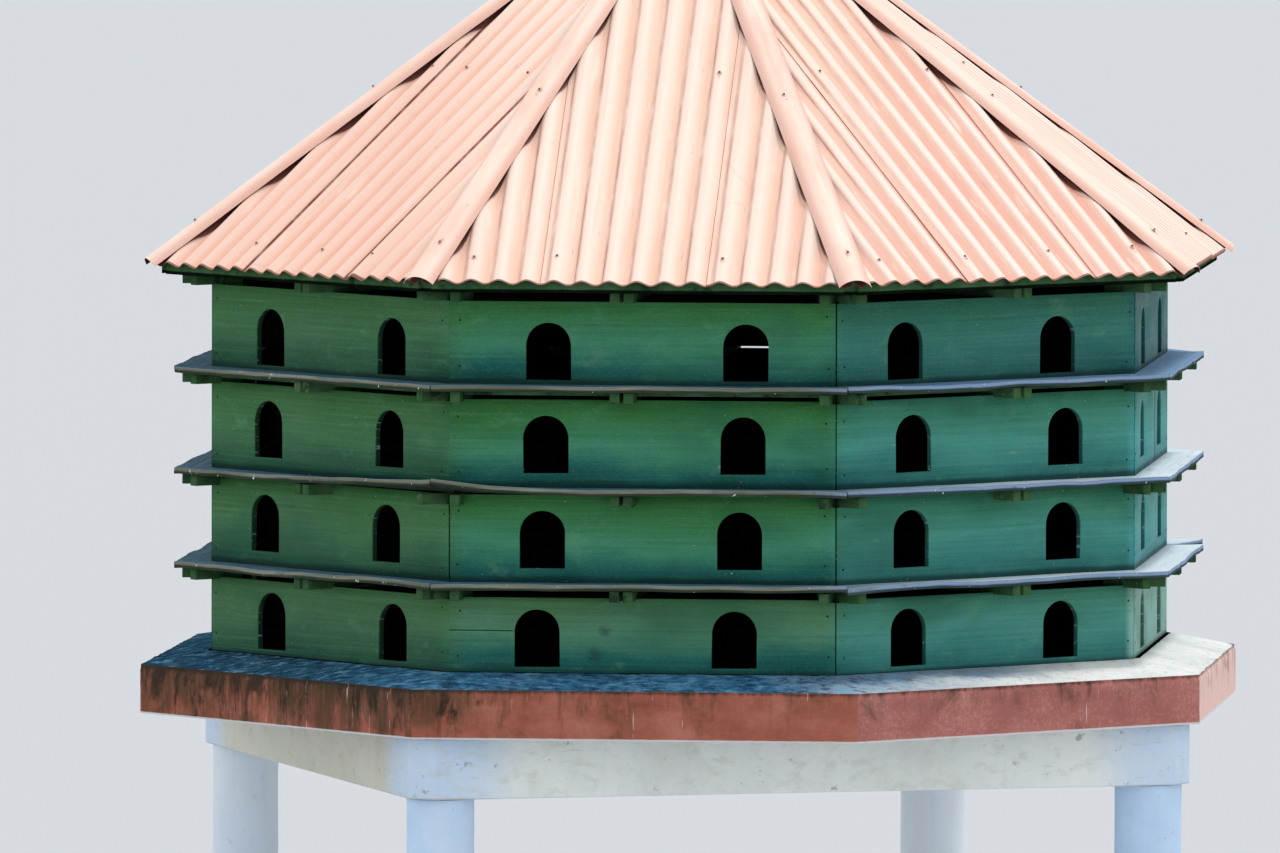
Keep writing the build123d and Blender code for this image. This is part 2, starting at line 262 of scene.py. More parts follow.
def grain_and_fading(colour, place, grain, blotch):
    colour = colour.lay(grain.band(0.45, 0.75, 0.2), (60, 92, 74), "MULTIPLY")
    colour = colour.lay(grain.band(0.47, 0.3, 0.16), (112, 166, 136))
    pores = place.stretched(0.5, 1, 1).noise(230.0, 2.0, 0.6)
    colour = colour.lay(pores.band(0.5, 0.68, 0.12), (36, 74, 58))
    colour = colour.lay(pores.band(0.48, 0.32, 0.1), (116, 168, 142))
    colour = colour.lay(blotch.band(0.53, 0.76, 0.45), (104, 158, 126))
    shade = place.stretched(1, 1, 2).noise(2.3, 3.0, 0.5)
    colour = colour.lay(shade.band(0.52, 0.72, 0.45), (30, 88, 66))
    scuff = place.stretched(14, 1, 60).noise(1.3, 3.0, 0.6, 0.6)
    return colour.lay(scuff.band(0.72, 0.79, 0.45), (140, 168, 146))


def damp_and_flecks(colour, place, wander, first_tier):
    damp = place.z.band(0.0, 0.032, 0.0, start=1.0) - wander * 0.5 - first_tier * 0.35
    colour = colour.lay(damp.band(0.0, 0.6, 0.7), (14, 42, 42))
    smudge = place.stretched(1.2, 1, 3).noise(13.0, 4.0, 0.6)
    colour = colour.lay(smudge.band(0.67, 0.8, 0.5), (40, 56, 48))
    from_hole = abs(abs(place.x) - HOLE_MIDDLE)
    fleck = place.stretched(1, 1, 1.4).noise(110.0, 2.0) + from_hole.band(0.085, 0.055, 0.05)
    return colour.lay(fleck.band(0.79, 0.81, 0.85), (210, 218, 214))


print("wear and dirt ready")

# %% [markdown]
# A few marks sit in one place only: a split in one board, a dark joint in another, and
# two knots on the front. They are found by their place on the wall. A place moves out by
# a set amount from tier to tier and from side to side, so that its Y tells them apart.
# Where the saw has cut through the paint, at edges and holes, the wood is dark and the
# paint has chipped along it; in the holes' reveals the dark is also painted shade, less on
# the right. The whole recipe then runs from the first coat to the last.

# %% Wall paint, single marks
KNOTS = [((-0.085, -1.2916, 0.115), 0.022), ((-0.112, -1.2916, 0.05), 0.03)]


def splits_and_knots(colour, place, wander):
    split = abs(place.z + wander * 0.008 - 0.118).band(0.0019, 0.001)
    split = split * place.y.band(-1.2, -1.25) * place.x.band(-0.33, -0.345)
    colour = colour.lay(split, (16, 26, 22))
    joint = abs(place.x - 0.13).band(0.018, 0.008, 0.8)
    joint = joint * place.y.band(3.5, 3.55) * place.y.band(3.75, 3.7)
    colour = colour.lay(joint, (20, 50, 48))
    ragged = place.stretched(1, 1, 1.6).noise(55.0, 4.0, 0.7)
    for knot, size in KNOTS:
        away = place.node("VectorMath", "Value", {0: place, 1: knot}, operation="DISTANCE")
        spread = (away + ragged * 0.055).band(size + 0.03, size * 0.4 + 0.018, 0.5)
        colour = colour.lay(spread, (24, 44, 38))
    return colour


def sawn_edges(paint, colour, place, across):
    depth = paint.written("depth")
    # Dark sawn wood at the edges, which in the holes' reveals is also painted shade, less on the
    # right.
    sawn_wood_and_shade = depth.band(0.001, 0.005) * across.band(*RIGHT_CORNER, 0.5, start=0.75)
    colour = colour.lay(sawn_wood_and_shade, (24, 40, 34))
    chip = place.stretched(1, 0.3, 1).noise(75.0, 3.0, 0.6)
    chip = chip.band(0.6, 0.66, 0.8) * depth.band(0.0004, 0.0015)
    return colour.lay(chip, (158, 182, 190))


def wall_paint():
    paint = Finish("sea_green_board_paint", 0.62)
    place = paint.own_place()
    across, height = paint.object_place().x, paint.object_place().z
    first_tier, top_tier = height.band(*FIRST_TIER), height.band(*TOP_TIER)
    wander = place.stretched(1, 1, 1.8).noise(3.2, 5.0, 0.6)
    grain = place.stretched(2.2, 1, 110).noise(1.0, 5.0, 0.6)
    blotch = place.stretched(1, 1, 1.4).noise(9.0, 7.0, 0.72)
    level = place.z / BOARD_RISE + (wander - 0.5) * 0.55
    colour = side_colours(level, across)
    colour = tier_colours(colour, level, across, first_tier, top_tier)
    colour = grain_and_fading(colour, place, grain, blotch)
    colour = damp_and_flecks(colour, place, wander, first_tier)
    colour = splits_and_knots(colour, place, wander)
    colour = sawn_edges(paint, colour, place, across)
    return paint.coat(colour, grain.bump(0.0008, 0.5), blotch.band(0.3, 0.8, 0.75, start=0.5))


board_paint = wall_paint()
print("made", board_paint.name)

# %% [markdown]
# The insides of the loft are bare softwood gone dark with age, and hardly any light
# reaches them. A brown-black with a little grain, which is also painted shade, is enough,
# and it makes the pigeon holes read as deep, dark openings.

# %% Dark timber inside the loft
def inside_timber():
    paint = Finish("dark_inside_timber", 0.9, shine=0.0)
    place = paint.object_place()
    grain = place.stretched(2, 2, 40).noise(3.0, 4.0)
    # Near-black brown: old dark wood, and painted shade for the inside of the loft.
    colour = grain.ramp((0.3, 7, 6, 6), (0.7, 18, 16, 13))
    return paint.coat(colour, grain.bump(0.001, 0.5))


dark_timber = inside_timber()
print("made", dark_timber.name)

# %% [markdown]
# Joist ends, posts, battens and rails are green too, but rough sawn and dirtier than the
# boards, with bare grey wood where they are worn, and the rail under the eave is painted
# nearly black along its foot as shade. They keep one finish on the object's own
# coordinates, because most of each piece is hidden.

# %% Green frame timber
RAIL_FOOT_SHADE = ((3.4862, 3.4868), (3.4955, 3.5))


def frame_paint():
    paint = Finish("green_frame_paint", 0.75, shine=0.0)
    place = paint.object_place()
    cloud = place.noise(9.0, 6.0, 0.65)
    colour = cloud.ramp((0.25, 40, 70, 46), (0.5, 60, 94, 60), (0.75, 84, 114, 80))
    worn = place.noise(38.0, 5.0, 0.7)
    colour = colour.lay(worn.band(0.6, 0.72, 0.7), (116, 124, 108))
    dirt = place.noise(17.0, 4.0)
    colour = colour.lay(dirt.band(0.58, 0.7, 0.7), (26, 32, 26))
    # Painted shade: the rail's foot is nearly black, as the dark gap under the eave.
    rail_foot_shade = (place.z + dirt * 0.004).within(*RAIL_FOOT_SHADE)
    colour = colour.lay(rail_foot_shade * 0.95, (6, 8, 6))
    return paint.coat(colour, place.noise(160.0, 3.0).bump(0.0012, 0.5))


timber_paint = frame_paint()
print("made", timber_paint.name)

# %% [markdown]
# The landing ledges were painted once, but feet, rain and sun have brought them back to
# grey wood. The top of a ledge is paler than its edge, with painted light on it: nearly
# white on the right, where the sun falls, and blue shade elsewhere and on the top ledge
# under the eave. The edges carry a painted light line at the top and painted shade at
# the foot, and are paler and bluer on the right. The grain runs along the plank, and
# droppings have dried on it in white spots.

# %% Weathered ledge board
def ledge_wood():
    paint = Finish("weathered_ledge_board", 0.85)
    place = paint.own_place()
    grain = place.stretched(2.5, 60, 60).noise(1.4, 6.0, 0.65, 0.3)
    # The shade and sunny ramps are shaded and lit copies of one grey wood: painted light.
    shade = grain.ramp((0.25, 48, 80, 98), (0.5, 74, 110, 130), (0.75, 120, 150, 166))
    sunny = grain.ramp((0.25, 206, 222, 234), (0.5, 230, 242, 250), (0.75, 246, 250, 252))
    across = paint.object_place().x
    painted_sunlight = across.band(0.35, 1.1)
    # The top ledge is painted blue, as shade under the eave.
    top_ledge_shade = paint.object_place().z.band(3.1, 3.15) * 0.85
    colour = shade.lay(painted_sunlight, sunny.lay(top_ledge_shade, (100, 148, 194)))
    edge = grain.ramp((0.25, 84, 88, 70), (0.5, 116, 118, 98), (0.75, 156, 156, 136))
    # Painted light: the edges are paler and bluer towards the right.
    edge = edge.lay(across.band(0.4, 0.7, 0.9), (136, 162, 196))
    depth = place.z + grain * 0.006
    # A painted light line along the top of the edge, and painted shade along its foot.
    edge = edge.lay(depth.band(-0.0005, 0.0025, 0.6), (104, 136, 158))
    edge = edge.lay(depth.band(-0.004, -0.009, 0.92), (34, 48, 40))
    # Tops and edges apart: the tops carry the painted light and shade.
    facing_up = node(paint.tree, "NewGeometry", "Normal").z
    colour = edge.lay(facing_up.band(0.4, 0.75), colour)
    patch = place.stretched(1, 3, 3).noise(5.0, 5.0, 0.65)
    patch = patch.band(0.54, 0.7, 0.5) * painted_sunlight.band(1.0, 0.4, start=0.25)
    colour = colour.lay(patch, (70, 88, 78))
    lime = place.noise(60.0, 3.0, 0.5, 0.3)
    colour = colour.lay(lime.band(0.7, 0.73, 0.9), (220, 222, 214))
    dark = place.stretched(3, 8, 8).noise(9.0, 4.0, 0.6)
    colour = colour.lay(dark.band(0.62, 0.76, 0.6), (34, 42, 40))
    return paint.coat(colour, grain.bump(0.0025, 0.8))


ledge_finish = ledge_wood()
print("made", ledge_finish.name)

# %% [markdown]
# The roof is corrugated sheet under salmon paint that the sun has bleached nearly white
# on the crests, where the sunny side also has a painted highlight. Dust and lichen stay in
# the troughs, which are also painted darker as shade, and the left and right slopes are
# painted a deeper pink as shade. Water has drawn long streaks down the slope, and each
# screw has bled rust. The model writes on the sheets what this needs: their place on the
# slope with the height in the wave, and how near a screw, a lapping sheet's edge and a hip
# are.

# %% Roof paint, layer by layer
TO_THE_RIGHT = (0.3, 0.75)
TO_THE_LEFT = (-0.3, -0.75)
PITCH = 76.2 * MM


def rust_over(paint, place, colour):
    """Rust round the screws, ragged at its edge and dark in the middle."""
    rust = paint.written("rust")
    ragged = rust * place.noise(130.0, 4.0).band(0.3, 0.6, 1.2, start=0.4)
    colour = colour.lay(ragged.band(0.3, 0.75, 0.75), (196, 146, 122))
    return colour.lay(ragged.band(0.7, 0.95, 0.85), (112, 66, 50))


def crests_and_troughs(colour, across, wave_height):
    """Painted shade: more colour left and right than in the middle, most of it in the troughs, and a
    painted highlight on the crests on the right.
    """
    trough = wave_height.band(0.001, -0.0075)
    colour = colour.lay(across.band(*TO_THE_RIGHT, 0.5), (236, 182, 162))
    colour = colour.lay(across.band(*TO_THE_LEFT, 0.5), (236, 182, 160))
    colour = colour.lay(trough * across.band(*TO_THE_RIGHT, 0.5), (222, 152, 132))
    colour = colour.lay(trough * across.band(*TO_THE_LEFT, 0.25), (226, 160, 138))
    # Painted highlight on the crests of the right-hand slopes.
    sunlit = wave_height.band(0.003, 0.008) * across.band(*TO_THE_RIGHT, 0.6)
    return colour.lay(sunlit, (252, 235, 225))


def streaks_and_flakes(colour, place, across, wave_height, streak):
    """Streaks and flakes, and painted shade on the flank that faces away from the sun, with a thin
    painted shadow line in it on the front slope.
    """
    colour = colour.lay(streak.band(0.52, 0.74, 0.3), (226, 172, 152))
    pale = place.stretched(18, 2.0, 1).noise(2.4, 4.0, 0.6)
    colour = colour.lay(pale.band(0.56, 0.72, 0.6), (247, 228, 214))
    flake = place.stretched(70, 7, 1).noise(1.6, 5.0, 0.7)
    low = wave_height.band(0.003, -0.006) * flake.band(0.6, 0.7, 0.55)
    colour = colour.lay(low, (196, 142, 124))
    phase = (place.x / PITCH).math("FRACT")
    # Painted shade on each crest's flank that faces away from the sun, less on the right.
    shaded_flank = phase.within((0.58, 0.74), (0.78, 0.86)) * flake.band(0.3, 0.6, 0.6, start=0.15)
    shaded_flank = shaded_flank * across.band(*TO_THE_RIGHT, 0.3, start=1.0)
    colour = colour.lay(shaded_flank, (196, 138, 112))
    # A thin painted shadow line in that flank, on the front slope only.
    flank_shadow_line = place.stretched(13, 1.6, 1).noise(1.0, 3.0, 0.6).band(0.46, 0.6, 0.75)
    flank_shadow_line = phase.within((0.7, 0.735), (0.75, 0.785)) * flank_shadow_line * abs(across).band(0.62, 0.5)
    colour = colour.lay(flank_shadow_line, (176, 116, 92))
    speck = place.noise(100.0, 3.0)
    return colour.lay(speck.band(0.72, 0.77, 0.45), (150, 112, 96))


print("layers of roof paint ready")

# %% [markdown]
# The laps get thin lines of painted shadow, the sheets beside the hip caps painted shadow
# over old, dark paint, and the sheets' ends at the eave dark rust. All are drawn from the
# distances written on the sheets. With them the recipe is complete, from the paint to the
# rust.

# %% Roof paint, all together
def laps_and_ends(paint, colour, place, crest, streak):
    """Painted shadow lines at the sheets' laps, painted shadow on old paint beside the hip caps, and
    rust at the eave.
    """
    lap, hip = paint.written("lap"), paint.written("hip")
    worn = place.stretched(3, 9, 3).noise(2.0, 4.0)
    # Painted shadow under the free edge of each lapping sheet.
    lap_shadow = lap.within((-0.0125, -0.0085), (0.001, 0.0035)) * worn.band(0.25, 0.6, start=0.6)
    colour = colour.lay(lap_shadow, (112, 58, 52))
    # Painted shadow beside and under the hip caps, over old, dark paint.
    reach = hip + crest * 0.004 + worn * 0.004
    colour = colour.lay(reach.band(0.0505, 0.045, 0.94), (104, 52, 46))
    end = place.y + streak * 0.004
    return colour.lay(end.band(0.0095, 0.0065, 0.85), (122, 70, 54))


def roof_paint():
    paint = Finish("bleached_salmon_sheet", 0.5, shine=0.18)
    place = paint.own_place()
    across = paint.object_place().x
    wave_height = place.z
    crest = wave_height.band(-0.0095, 0.006)
    cloud = place.stretched(1, 0.35, 1).noise(5.0, 6.0, 0.6)
    streak = place.stretched(30, 1.1, 1).noise(1.5, 5.0, 0.6)
    # Paler crests: bleached paint, and partly painted light.
    tone = crest + (cloud - 0.5) * 0.8
    colour = tone.ramp((0.0, 243, 198, 174), (0.35, 247, 213, 194), (0.65, 248, 219, 202),
                       (1.0, 247, 222, 206))
    colour = crests_and_troughs(colour, across, wave_height)
    colour = streaks_and_flakes(colour, place, across, wave_height, streak)
    colour = rust_over(paint, place, colour)
    colour = laps_and_ends(paint, colour, place, crest, streak)
    return paint.coat(colour, cloud.bump(0.0006, 0.5))


sheet_paint = roof_paint()
print("made", sheet_paint.name)

# %% [markdown]
# The hip caps are bent from flat sheet in the same paint, so their pattern follows their
# length instead of a wave, and their curved sides are painted darker as shade. Their
# undersides lie in shade, and their old, dark paint is also painted shade.

# %% Hip cap paint
def cap_paint():
    paint = Finish("bleached_salmon_cap", 0.45, shine=0.25)
    place = paint.own_place()
    cloud = place.stretched(3, 1, 3).noise(4.0, 6.0, 0.6)
    colour = cloud.ramp((0.25, 242, 194, 174), (0.5, 248, 214, 196), (0.75, 250, 228, 212))
    streak = place.stretched(30, 1.4, 30).noise(1.0, 5.0, 0.6)
    colour = colour.lay(streak.band(0.54, 0.72, 0.35), (218, 160, 140))
    # Painted shade on the cap's curved sides.
    shaded_flank = abs(place.x) + cloud * 0.01
    colour = colour.lay(shaded_flank.band(0.022, 0.05, 0.55), (222, 164, 146))
    speck = place.noise(90.0, 3.0)
    colour = colour.lay(speck.band(0.7, 0.75, 0.5), (146, 104, 90))
    return paint.coat(rust_over(paint, place, colour), cloud.bump(0.0008, 0.4))


def cap_inside():
    # Dark red under the caps: old paint, and painted shade.
    paint = Finish("old_paint_and_shade_under_cap", 0.8)
    cloud = paint.own_place().noise(30.0, 4.0)
    return paint.coat(cloud.ramp((0.3, 58, 28, 24), (0.7, 92, 46, 40)))


ridge_paint, under_cap = cap_paint(), cap_inside()
print("made", ridge_paint.name, under_cap.name)

# %% [markdown]
# The slab's edge is painted red-brown. Rain that runs off the top has drawn dark stains
# down it, nearly black on the left, and white drips stand beside them. The stains are
# noise stretched upright, and two slow trends, to the left and upwards, add to it. The
# place along the edge starts SIDE_SHIFT metres further on at each next side to the right,
# so no two sides look alike, and a stretch of it picks out the sides on the right, which
# are painted paler as lit by the sun.

# %% Slab edge paint
SIDE_SHIFT = 5.3
RIGHT_SIDES = ((2.0, 3.0), (18.5, 18.6))
MIDDLE_RIGHT_SIDE = ((8.0, 9.0), (13.0, 14.0))


def slab_edge_paint():
    paint = Finish("red_brown_slab_edge", 0.8)
    place = paint.own_place()
    up, side = place.z, place.x
    cloud = place.stretched(1, 1, 1.6).noise(6.0, 6.0, 0.65)
    colour = cloud.ramp((0.25, 134, 74, 58), (0.5, 164, 96, 78), (0.78, 186, 122, 104))
    # Painted light: the sides on the right are paler, as in the sun.
    lit_right_sides = side.within(*RIGHT_SIDES)
    colour = colour.lay(lit_right_sides * 0.4, (176, 116, 118))
    rough = place.noise(90.0, 6.0, 0.75) + (cloud - 0.5) * 0.4
    speckle = rough.band(0.48, 0.68) * lit_right_sides.band(0.0, 1.0, 0.5, start=0.1)
    colour = colour.lay(speckle, (206, 150, 142))
    # Painted light: the middle side on the right is nearly white, as in full sun.
    colour = colour.lay(side.within(*MIDDLE_RIGHT_SIDE) * 0.8, (240, 206, 196))
    left = paint.object_place().x.band(-0.1, -0.8, 0.18)
    fall = up.band(-0.175, -0.04, 0.05, start=-0.06)
    stain = place.stretched(5, 1, 3).noise(1.6, 6.0, 0.7, 0.4) + left + fall
    colour = colour.lay(stain.band(0.52, 0.74, 0.7), (80, 62, 42))
    runs = place.stretched(38, 1, 4.0).noise(1.0, 7.0, 0.7, 0.3) + left + fall
    colour = colour.lay(runs.band(0.55, 0.78, 0.6), (72, 56, 38))
    black = place.stretched(15, 1, 5.0).noise(1.0, 7.0, 0.72, 0.5) + left + fall
    colour = colour.lay(black.band(0.66, 0.8, 0.85), (40, 36, 26))
    rim = up.band(-0.056, -0.038, 0.6) + (runs - 0.5) * 1.6
    colour = colour.lay(rim.band(0.3, 0.9, 0.8), (56, 46, 38))
    drip = place.stretched(110, 1, 7).noise(1.0, 4.0, 0.6)
    colour = colour.lay(drip.band(0.69, 0.73, 0.75), (222, 206, 196))
    foot = up + runs * 0.003
    colour = colour.lay(foot.band(-0.1655, -0.1685, 0.8), (214, 218, 220))
    return paint.coat(colour, place.noise(70.0, 5.0, 0.65).bump(0.002, 0.6))


edge_paint = slab_edge_paint()
print("made", edge_paint.name)

# %% [markdown]
# The slab's top is bare cement with moss. It is painted dark and blue as shade where the
# loft shades it, darkest on the left, with a painted shadow by the wall on the right, and
# it is painted nearly white as sunlight on the right. It meets the edge's paint at the
# chipped rim, and under the loft, where nobody sees it, it is painted plain dark as shade.

# %% Slab top finish
def slab_top_finish():
    paint = Finish("bare_cement_top", 0.85, shine=0.0)
    place = paint.object_place()
    across, out = place.x, paint.own_place().y
    cloud = place.noise(5.0, 7.0, 0.7)
    sunny = across.band(0.3, 1.15)
    # Blue ramp: bare cement in painted shade.
    colour = cloud.ramp((0.25, 34, 82, 116), (0.5, 64, 120, 156), (0.75, 112, 158, 186))
    # Painted shade: the left is darker.
    colour = colour.lay(across.band(-0.5, -1.1, 0.65), (32, 60, 76))
    # Painted sunlight: nearly white on the right.
    painted_sunlight = cloud.ramp((0.25, 206, 208, 206), (0.5, 240, 240, 236), (0.75, 250, 250, 246))
    colour = colour.lay(sunny, painted_sunlight)
    # Painted shadow by the wall on the right.
    wall_shadow = (out + (cloud - 0.5) * 0.3).band(0.13, 0.07, 0.75)
    wall_shadow = wall_shadow * across.band(1.2, 0.9) * across.band(0.3, 0.6)
    colour = colour.lay(wall_shadow, (92, 120, 148))
    moss = place.noise(11.0, 7.0, 0.75) - sunny * 0.11
    colour = colour.lay(moss.band(0.5, 0.66, 0.7), (38, 60, 72))
    in_shade = sunny.band(0.2, 1.0, 0.15, start=1.0)
    patch = place.stretched(1, 1.6, 1).noise(24.0, 5.0, 0.7) + sunny.band(0.0, 0.7, -0.06)
    colour = colour.lay(patch.band(0.5, 0.6, 0.65) * in_shade, (22, 44, 60))
    colour = colour.lay(patch.band(0.47, 0.37, 0.6) * in_shade, (122, 172, 204))
    grit = place.noise(55.0, 5.0, 0.7)
    colour = colour.lay(grit.band(0.54, 0.68, 0.3), (38, 60, 74))
    colour = colour.lay(grit.band(0.42, 0.3, 0.15), (178, 200, 212))
    lime = place.noise(42.0, 3.0)
    colour = colour.lay(lime.band(0.76, 0.8, 0.6), (214, 222, 226))
    # Painted shade: near-black under the loft.
    colour = colour.lay(out.band(-0.016, -0.03), (16, 14, 12))
    return paint.coat(colour, place.noise(70.0, 5.0, 0.6).bump(0.002, 0.5))


top_finish = slab_top_finish()
print("made", top_finish.name)

# %% [markdown]
# Limewash goes on by brush, dries chalky and lets the grey concrete through. The beams
# are warmer and dirtier under the slab's drips, the left beam is painted darker and
# yellower as shade, and near the columns the beams are painted blue as shade. The columns
# are painted a cool blue as shade, with splashes of earth near the ground. One recipe
# makes both, with the marks of each added to it.

# %% Limewash
SLAB_CORNER = (wall_out + 190 * MM) / math.cos(HALF)
COLUMN_REACH = SLAB_CORNER - 160 * MM


def column_distance(place):
    """How far a point is from the axis of the nearest column, in plan."""
    feed = {"Vector": place, "Rotation": (0, 0, HALF + math.pi / 4)}
    square_on = place.node("Mapping", "Vector", feed)
    offsets = {letter: abs(square_on.axis(letter)) - COLUMN_REACH / math.sqrt(2) for letter in "XY"}
    both = place.node("CombineXYZ", "Vector", offsets)
    return place.node("VectorMath", "Value", {0: both}, operation="LENGTH")


def beam_dirt_and_shade(colour, place, cloud):
    """Painted blue shade by the columns and darker, yellower painted shade on the left beam; brown
    stains below, smears and scrapes.
    """
    # Painted shade: the left beam darker and yellower.
    colour = colour.lay(place.x.band(-0.4, -0.65, 0.6), (196, 190, 166))
    # Painted shade: bluer near the columns.
    near = column_distance(place) + cloud * 0.1
    colour = colour.lay(near.band(0.3, 0.13, 0.85), (196, 218, 244))
    stain = (place.z + cloud * 0.016).band(2.104, 2.098, 0.5) * near.band(0.25, 0.15)
    colour = colour.lay(stain, (186, 160, 116))
    smear = place.stretched(1, 1, 1.6).noise(13.0, 6.0, 0.7)
    colour = colour.lay(smear.band(0.5, 0.66, 0.3), (196, 192, 170))
    scrape = place.stretched(9, 9, 50).noise(1.3, 5.0, 0.7)
    return colour.lay(scrape.band(0.6, 0.72, 0.3), (160, 152, 134))


def column_cream(colour, place, _cloud):
    """Creamier wash in patches and on the far columns."""
    cream = place.stretched(1, 1, 0.5).noise(3.4, 3.0, 0.5)
    colour = colour.lay(cream.band(0.46, 0.62, 0.28), (224, 230, 230))
    return colour.lay(place.y.band(0.0, 0.6, 0.6), (236, 238, 234))


def limewash(name, shades, own_marks, splash, chipped):
    paint = Finish(name, 0.9)
    place = paint.object_place()
    cloud = place.stretched(1, 1, 0.7).noise(5.0, 7.0, 0.62)
    dark, middle, light = shades
    colour = cloud.ramp((0.25, *dark), (0.5, *middle), (0.78, *light))
    colour = own_marks(colour, place, cloud)
    brush = place.stretched(30, 30, 4).noise(1.4, 4.0, 0.6)
    colour = colour.lay(brush.band(0.55, 0.75, 0.2), dark)
    chip = place.noise(24.0, 6.0, 0.7)
    colour = colour.lay(chip.band(0.63, 0.69, chipped), (140, 134, 122))
    ground = place.z.band(0.0, 0.45, 0.0, start=0.35) + cloud * splash
    colour = colour.lay(ground.band(0.22, 0.5, 0.7), (122, 112, 96))
    return paint.coat(colour, place.noise(45.0, 6.0, 0.65).bump(0.003, 0.6))


beam_wash = limewash("beam_limewash", [(212, 216, 206), (234, 240, 234), (246, 249, 247)],
                     beam_dirt_and_shade, splash=0.3, chipped=0.6)
# The columns' cool blue wash is painted shade.
column_wash = limewash("column_limewash", [(176, 204, 232), (194, 220, 248), (212, 234, 252)],
                       column_cream, splash=0.28, chipped=0.25)
print("made", beam_wash.name, column_wash.name)

# %% [markdown]
# Nails are black with rust, and the screws and their washers were painted over with the
# roof. At their size one noise between two colours is all that can be seen.

# %% Nail and screw metal
def small_metal(name, base, spot, roughness):
    paint = Finish(name, roughness, metallic=0.4)
    cloud = paint.object_place().noise(240.0, 3.0)
    return paint.coat(cloud.ramp((0.35, *base), (0.65, *spot)), cloud.bump(0.0004, 0.5))


nail_metal = small_metal("rusty_nail", (30, 24, 22), (62, 44, 36), 0.75)
screw_metal = small_metal("weathered_screw", (74, 56, 48), (128, 104, 92), 0.6)
washer_metal = small_metal("painted_washer", (196, 158, 142), (226, 200, 186), 0.6)
print("made", nail_metal.name, screw_metal.name, washer_metal.name)

# %% [markdown]
# Modelling by hand always goes the same way: pick a piece, open it in edit mode, select
# some faces or edges, apply a tool, and close it. The helpers below do these steps, and
# the selection is a test on a place or a normal, so it can be read in the code.

# %% Helpers for edit mode
def only(piece):
    """Makes one piece the selected and active one, in object mode."""
    if bpy.context.object and bpy.context.object.mode != "OBJECT":
        bpy.ops.object.mode_set(mode="OBJECT")
    bpy.ops.object.select_all(action="DESELECT")
    bpy.context.view_layer.objects.active = piece
    piece.select_set(True)


def settle(piece):
    """Bakes an object's own turn, shift and scale into its mesh."""
    only(piece)
    bpy.ops.object.transform_apply(location=True, rotation=True, scale=True)
    return piece


def start(name, add_primitive, **settings):
    """A new piece from one of Blender's primitives, with nothing else selected."""
    bpy.ops.object.select_all(action="DESELECT")
    add_primitive(**settings)
    bpy.context.object.name = name
    return settle(bpy.context.object)


def edit(piece, kind="VERT"):
    """Opens a piece in edit mode with nothing selected."""
    only(piece)
    bpy.ops.object.mode_set(mode="EDIT")
    bpy.ops.mesh.select_mode(type=kind)
    bpy.ops.mesh.select_all(action="DESELECT")


def close():
    bpy.ops.object.mode_set(mode="OBJECT")


def select_all():
    bpy.ops.mesh.select_all(action="SELECT")


def close_outwards():
    """Turns all faces outwards and leaves edit mode."""
    select_all()
    bpy.ops.mesh.normals_make_consistent(inside=False)
    close()


def pick(piece, kind, test):
    """Selects the vertices, edges or faces that pass a test, and nothing else."""
    mesh = bmesh.from_edit_mesh(piece.data)
    bpy.ops.mesh.select_all(action="DESELECT")
    for part in {"VERT": mesh.verts, "EDGE": mesh.edges, "FACE": mesh.faces}[kind]:
        if test(part):
            part.select_set(True)
    mesh.select_flush_mode()
    bmesh.update_edit_mesh(piece.data)


def extrude(x, y, z):
    bpy.ops.mesh.extrude_region_move(TRANSFORM_OT_translate={"value": (x, y, z)})


def move(x, y, z):
    bpy.ops.transform.translate(value=(x, y, z))


def widen(share):
    """Scales the selection in plan about the upright axis."""
    bpy.ops.transform.resize(value=(share, share, 1), center_override=(0, 0, 0))


def cut(point, normal, clear=False):
    """Cuts all of the open piece with a plane, and clears what is in front of it."""
    select_all()
    bpy.ops.mesh.bisect(plane_co=point, plane_no=normal, clear_outer=clear)


print("edit mode helpers ready")

# %% [markdown]
# The other helpers work on whole pieces. They apply modifiers, dent, copy, turn and join
# pieces, write numbers on their points for a finish to read, and enter a finished piece
# in the frame.

# %% Helpers for whole pieces
def modifier(piece, kind, **settings):
    """Adds a modifier, sets it up and applies it."""
    only(piece)
    made = piece.modifiers.new(kind.title(), kind)
    for name, value in settings.items():
        setattr(made, name, value)
    bpy.ops.object.modifier_apply(modifier=made.name)


def moved(piece, x, y, z):
    piece.data.transform(Matrix.Translation((x, y, z)))
    return piece


def uneven(piece, size, strength, direction="NORMAL", middle=0.5, group="", aside=(0, 0, 0)):
    """Gives a piece soft dents and bends. Each piece has its own, where it is moved aside."""
    dents = bpy.data.textures.new("dents", "CLOUDS")
    dents.noise_scale = size
    dents.noise_depth = 2
    moved(piece, *aside)
    modifier(piece, "DISPLACE", texture=dents, texture_coords="LOCAL", strength=strength,
             direction=direction, mid_level=middle, vertex_group=group)
    moved(piece, *(-value for value in aside))


def copy_of(piece, name):
    """A copy with its own mesh."""
    made = bpy.data.objects.new(name, piece.data.copy())
    bpy.context.scene.collection.objects.link(made)
    return made


def turned(piece, angle):
    """Turns a piece about the upright axis and bakes the turn."""
    piece.rotation_euler.z = angle
    return settle(piece)


def joined(pieces, name):
    """Several pieces made into one."""
    only(pieces[0])
    for piece in pieces:
        piece.select_set(True)
    bpy.ops.object.join()
    pieces[0].name = name
    return pieces[0]


def read(items, name, kind=np.float32, width=1):
    """One value of all points, faces or corners, as an array."""
    flat = np.zeros(len(items) * width, kind)
    items.foreach_get(name, flat)
    return flat.reshape(-1, width) if width > 1 else flat


def coordinates(piece):
    return read(piece.data.vertices, "co", width=3)


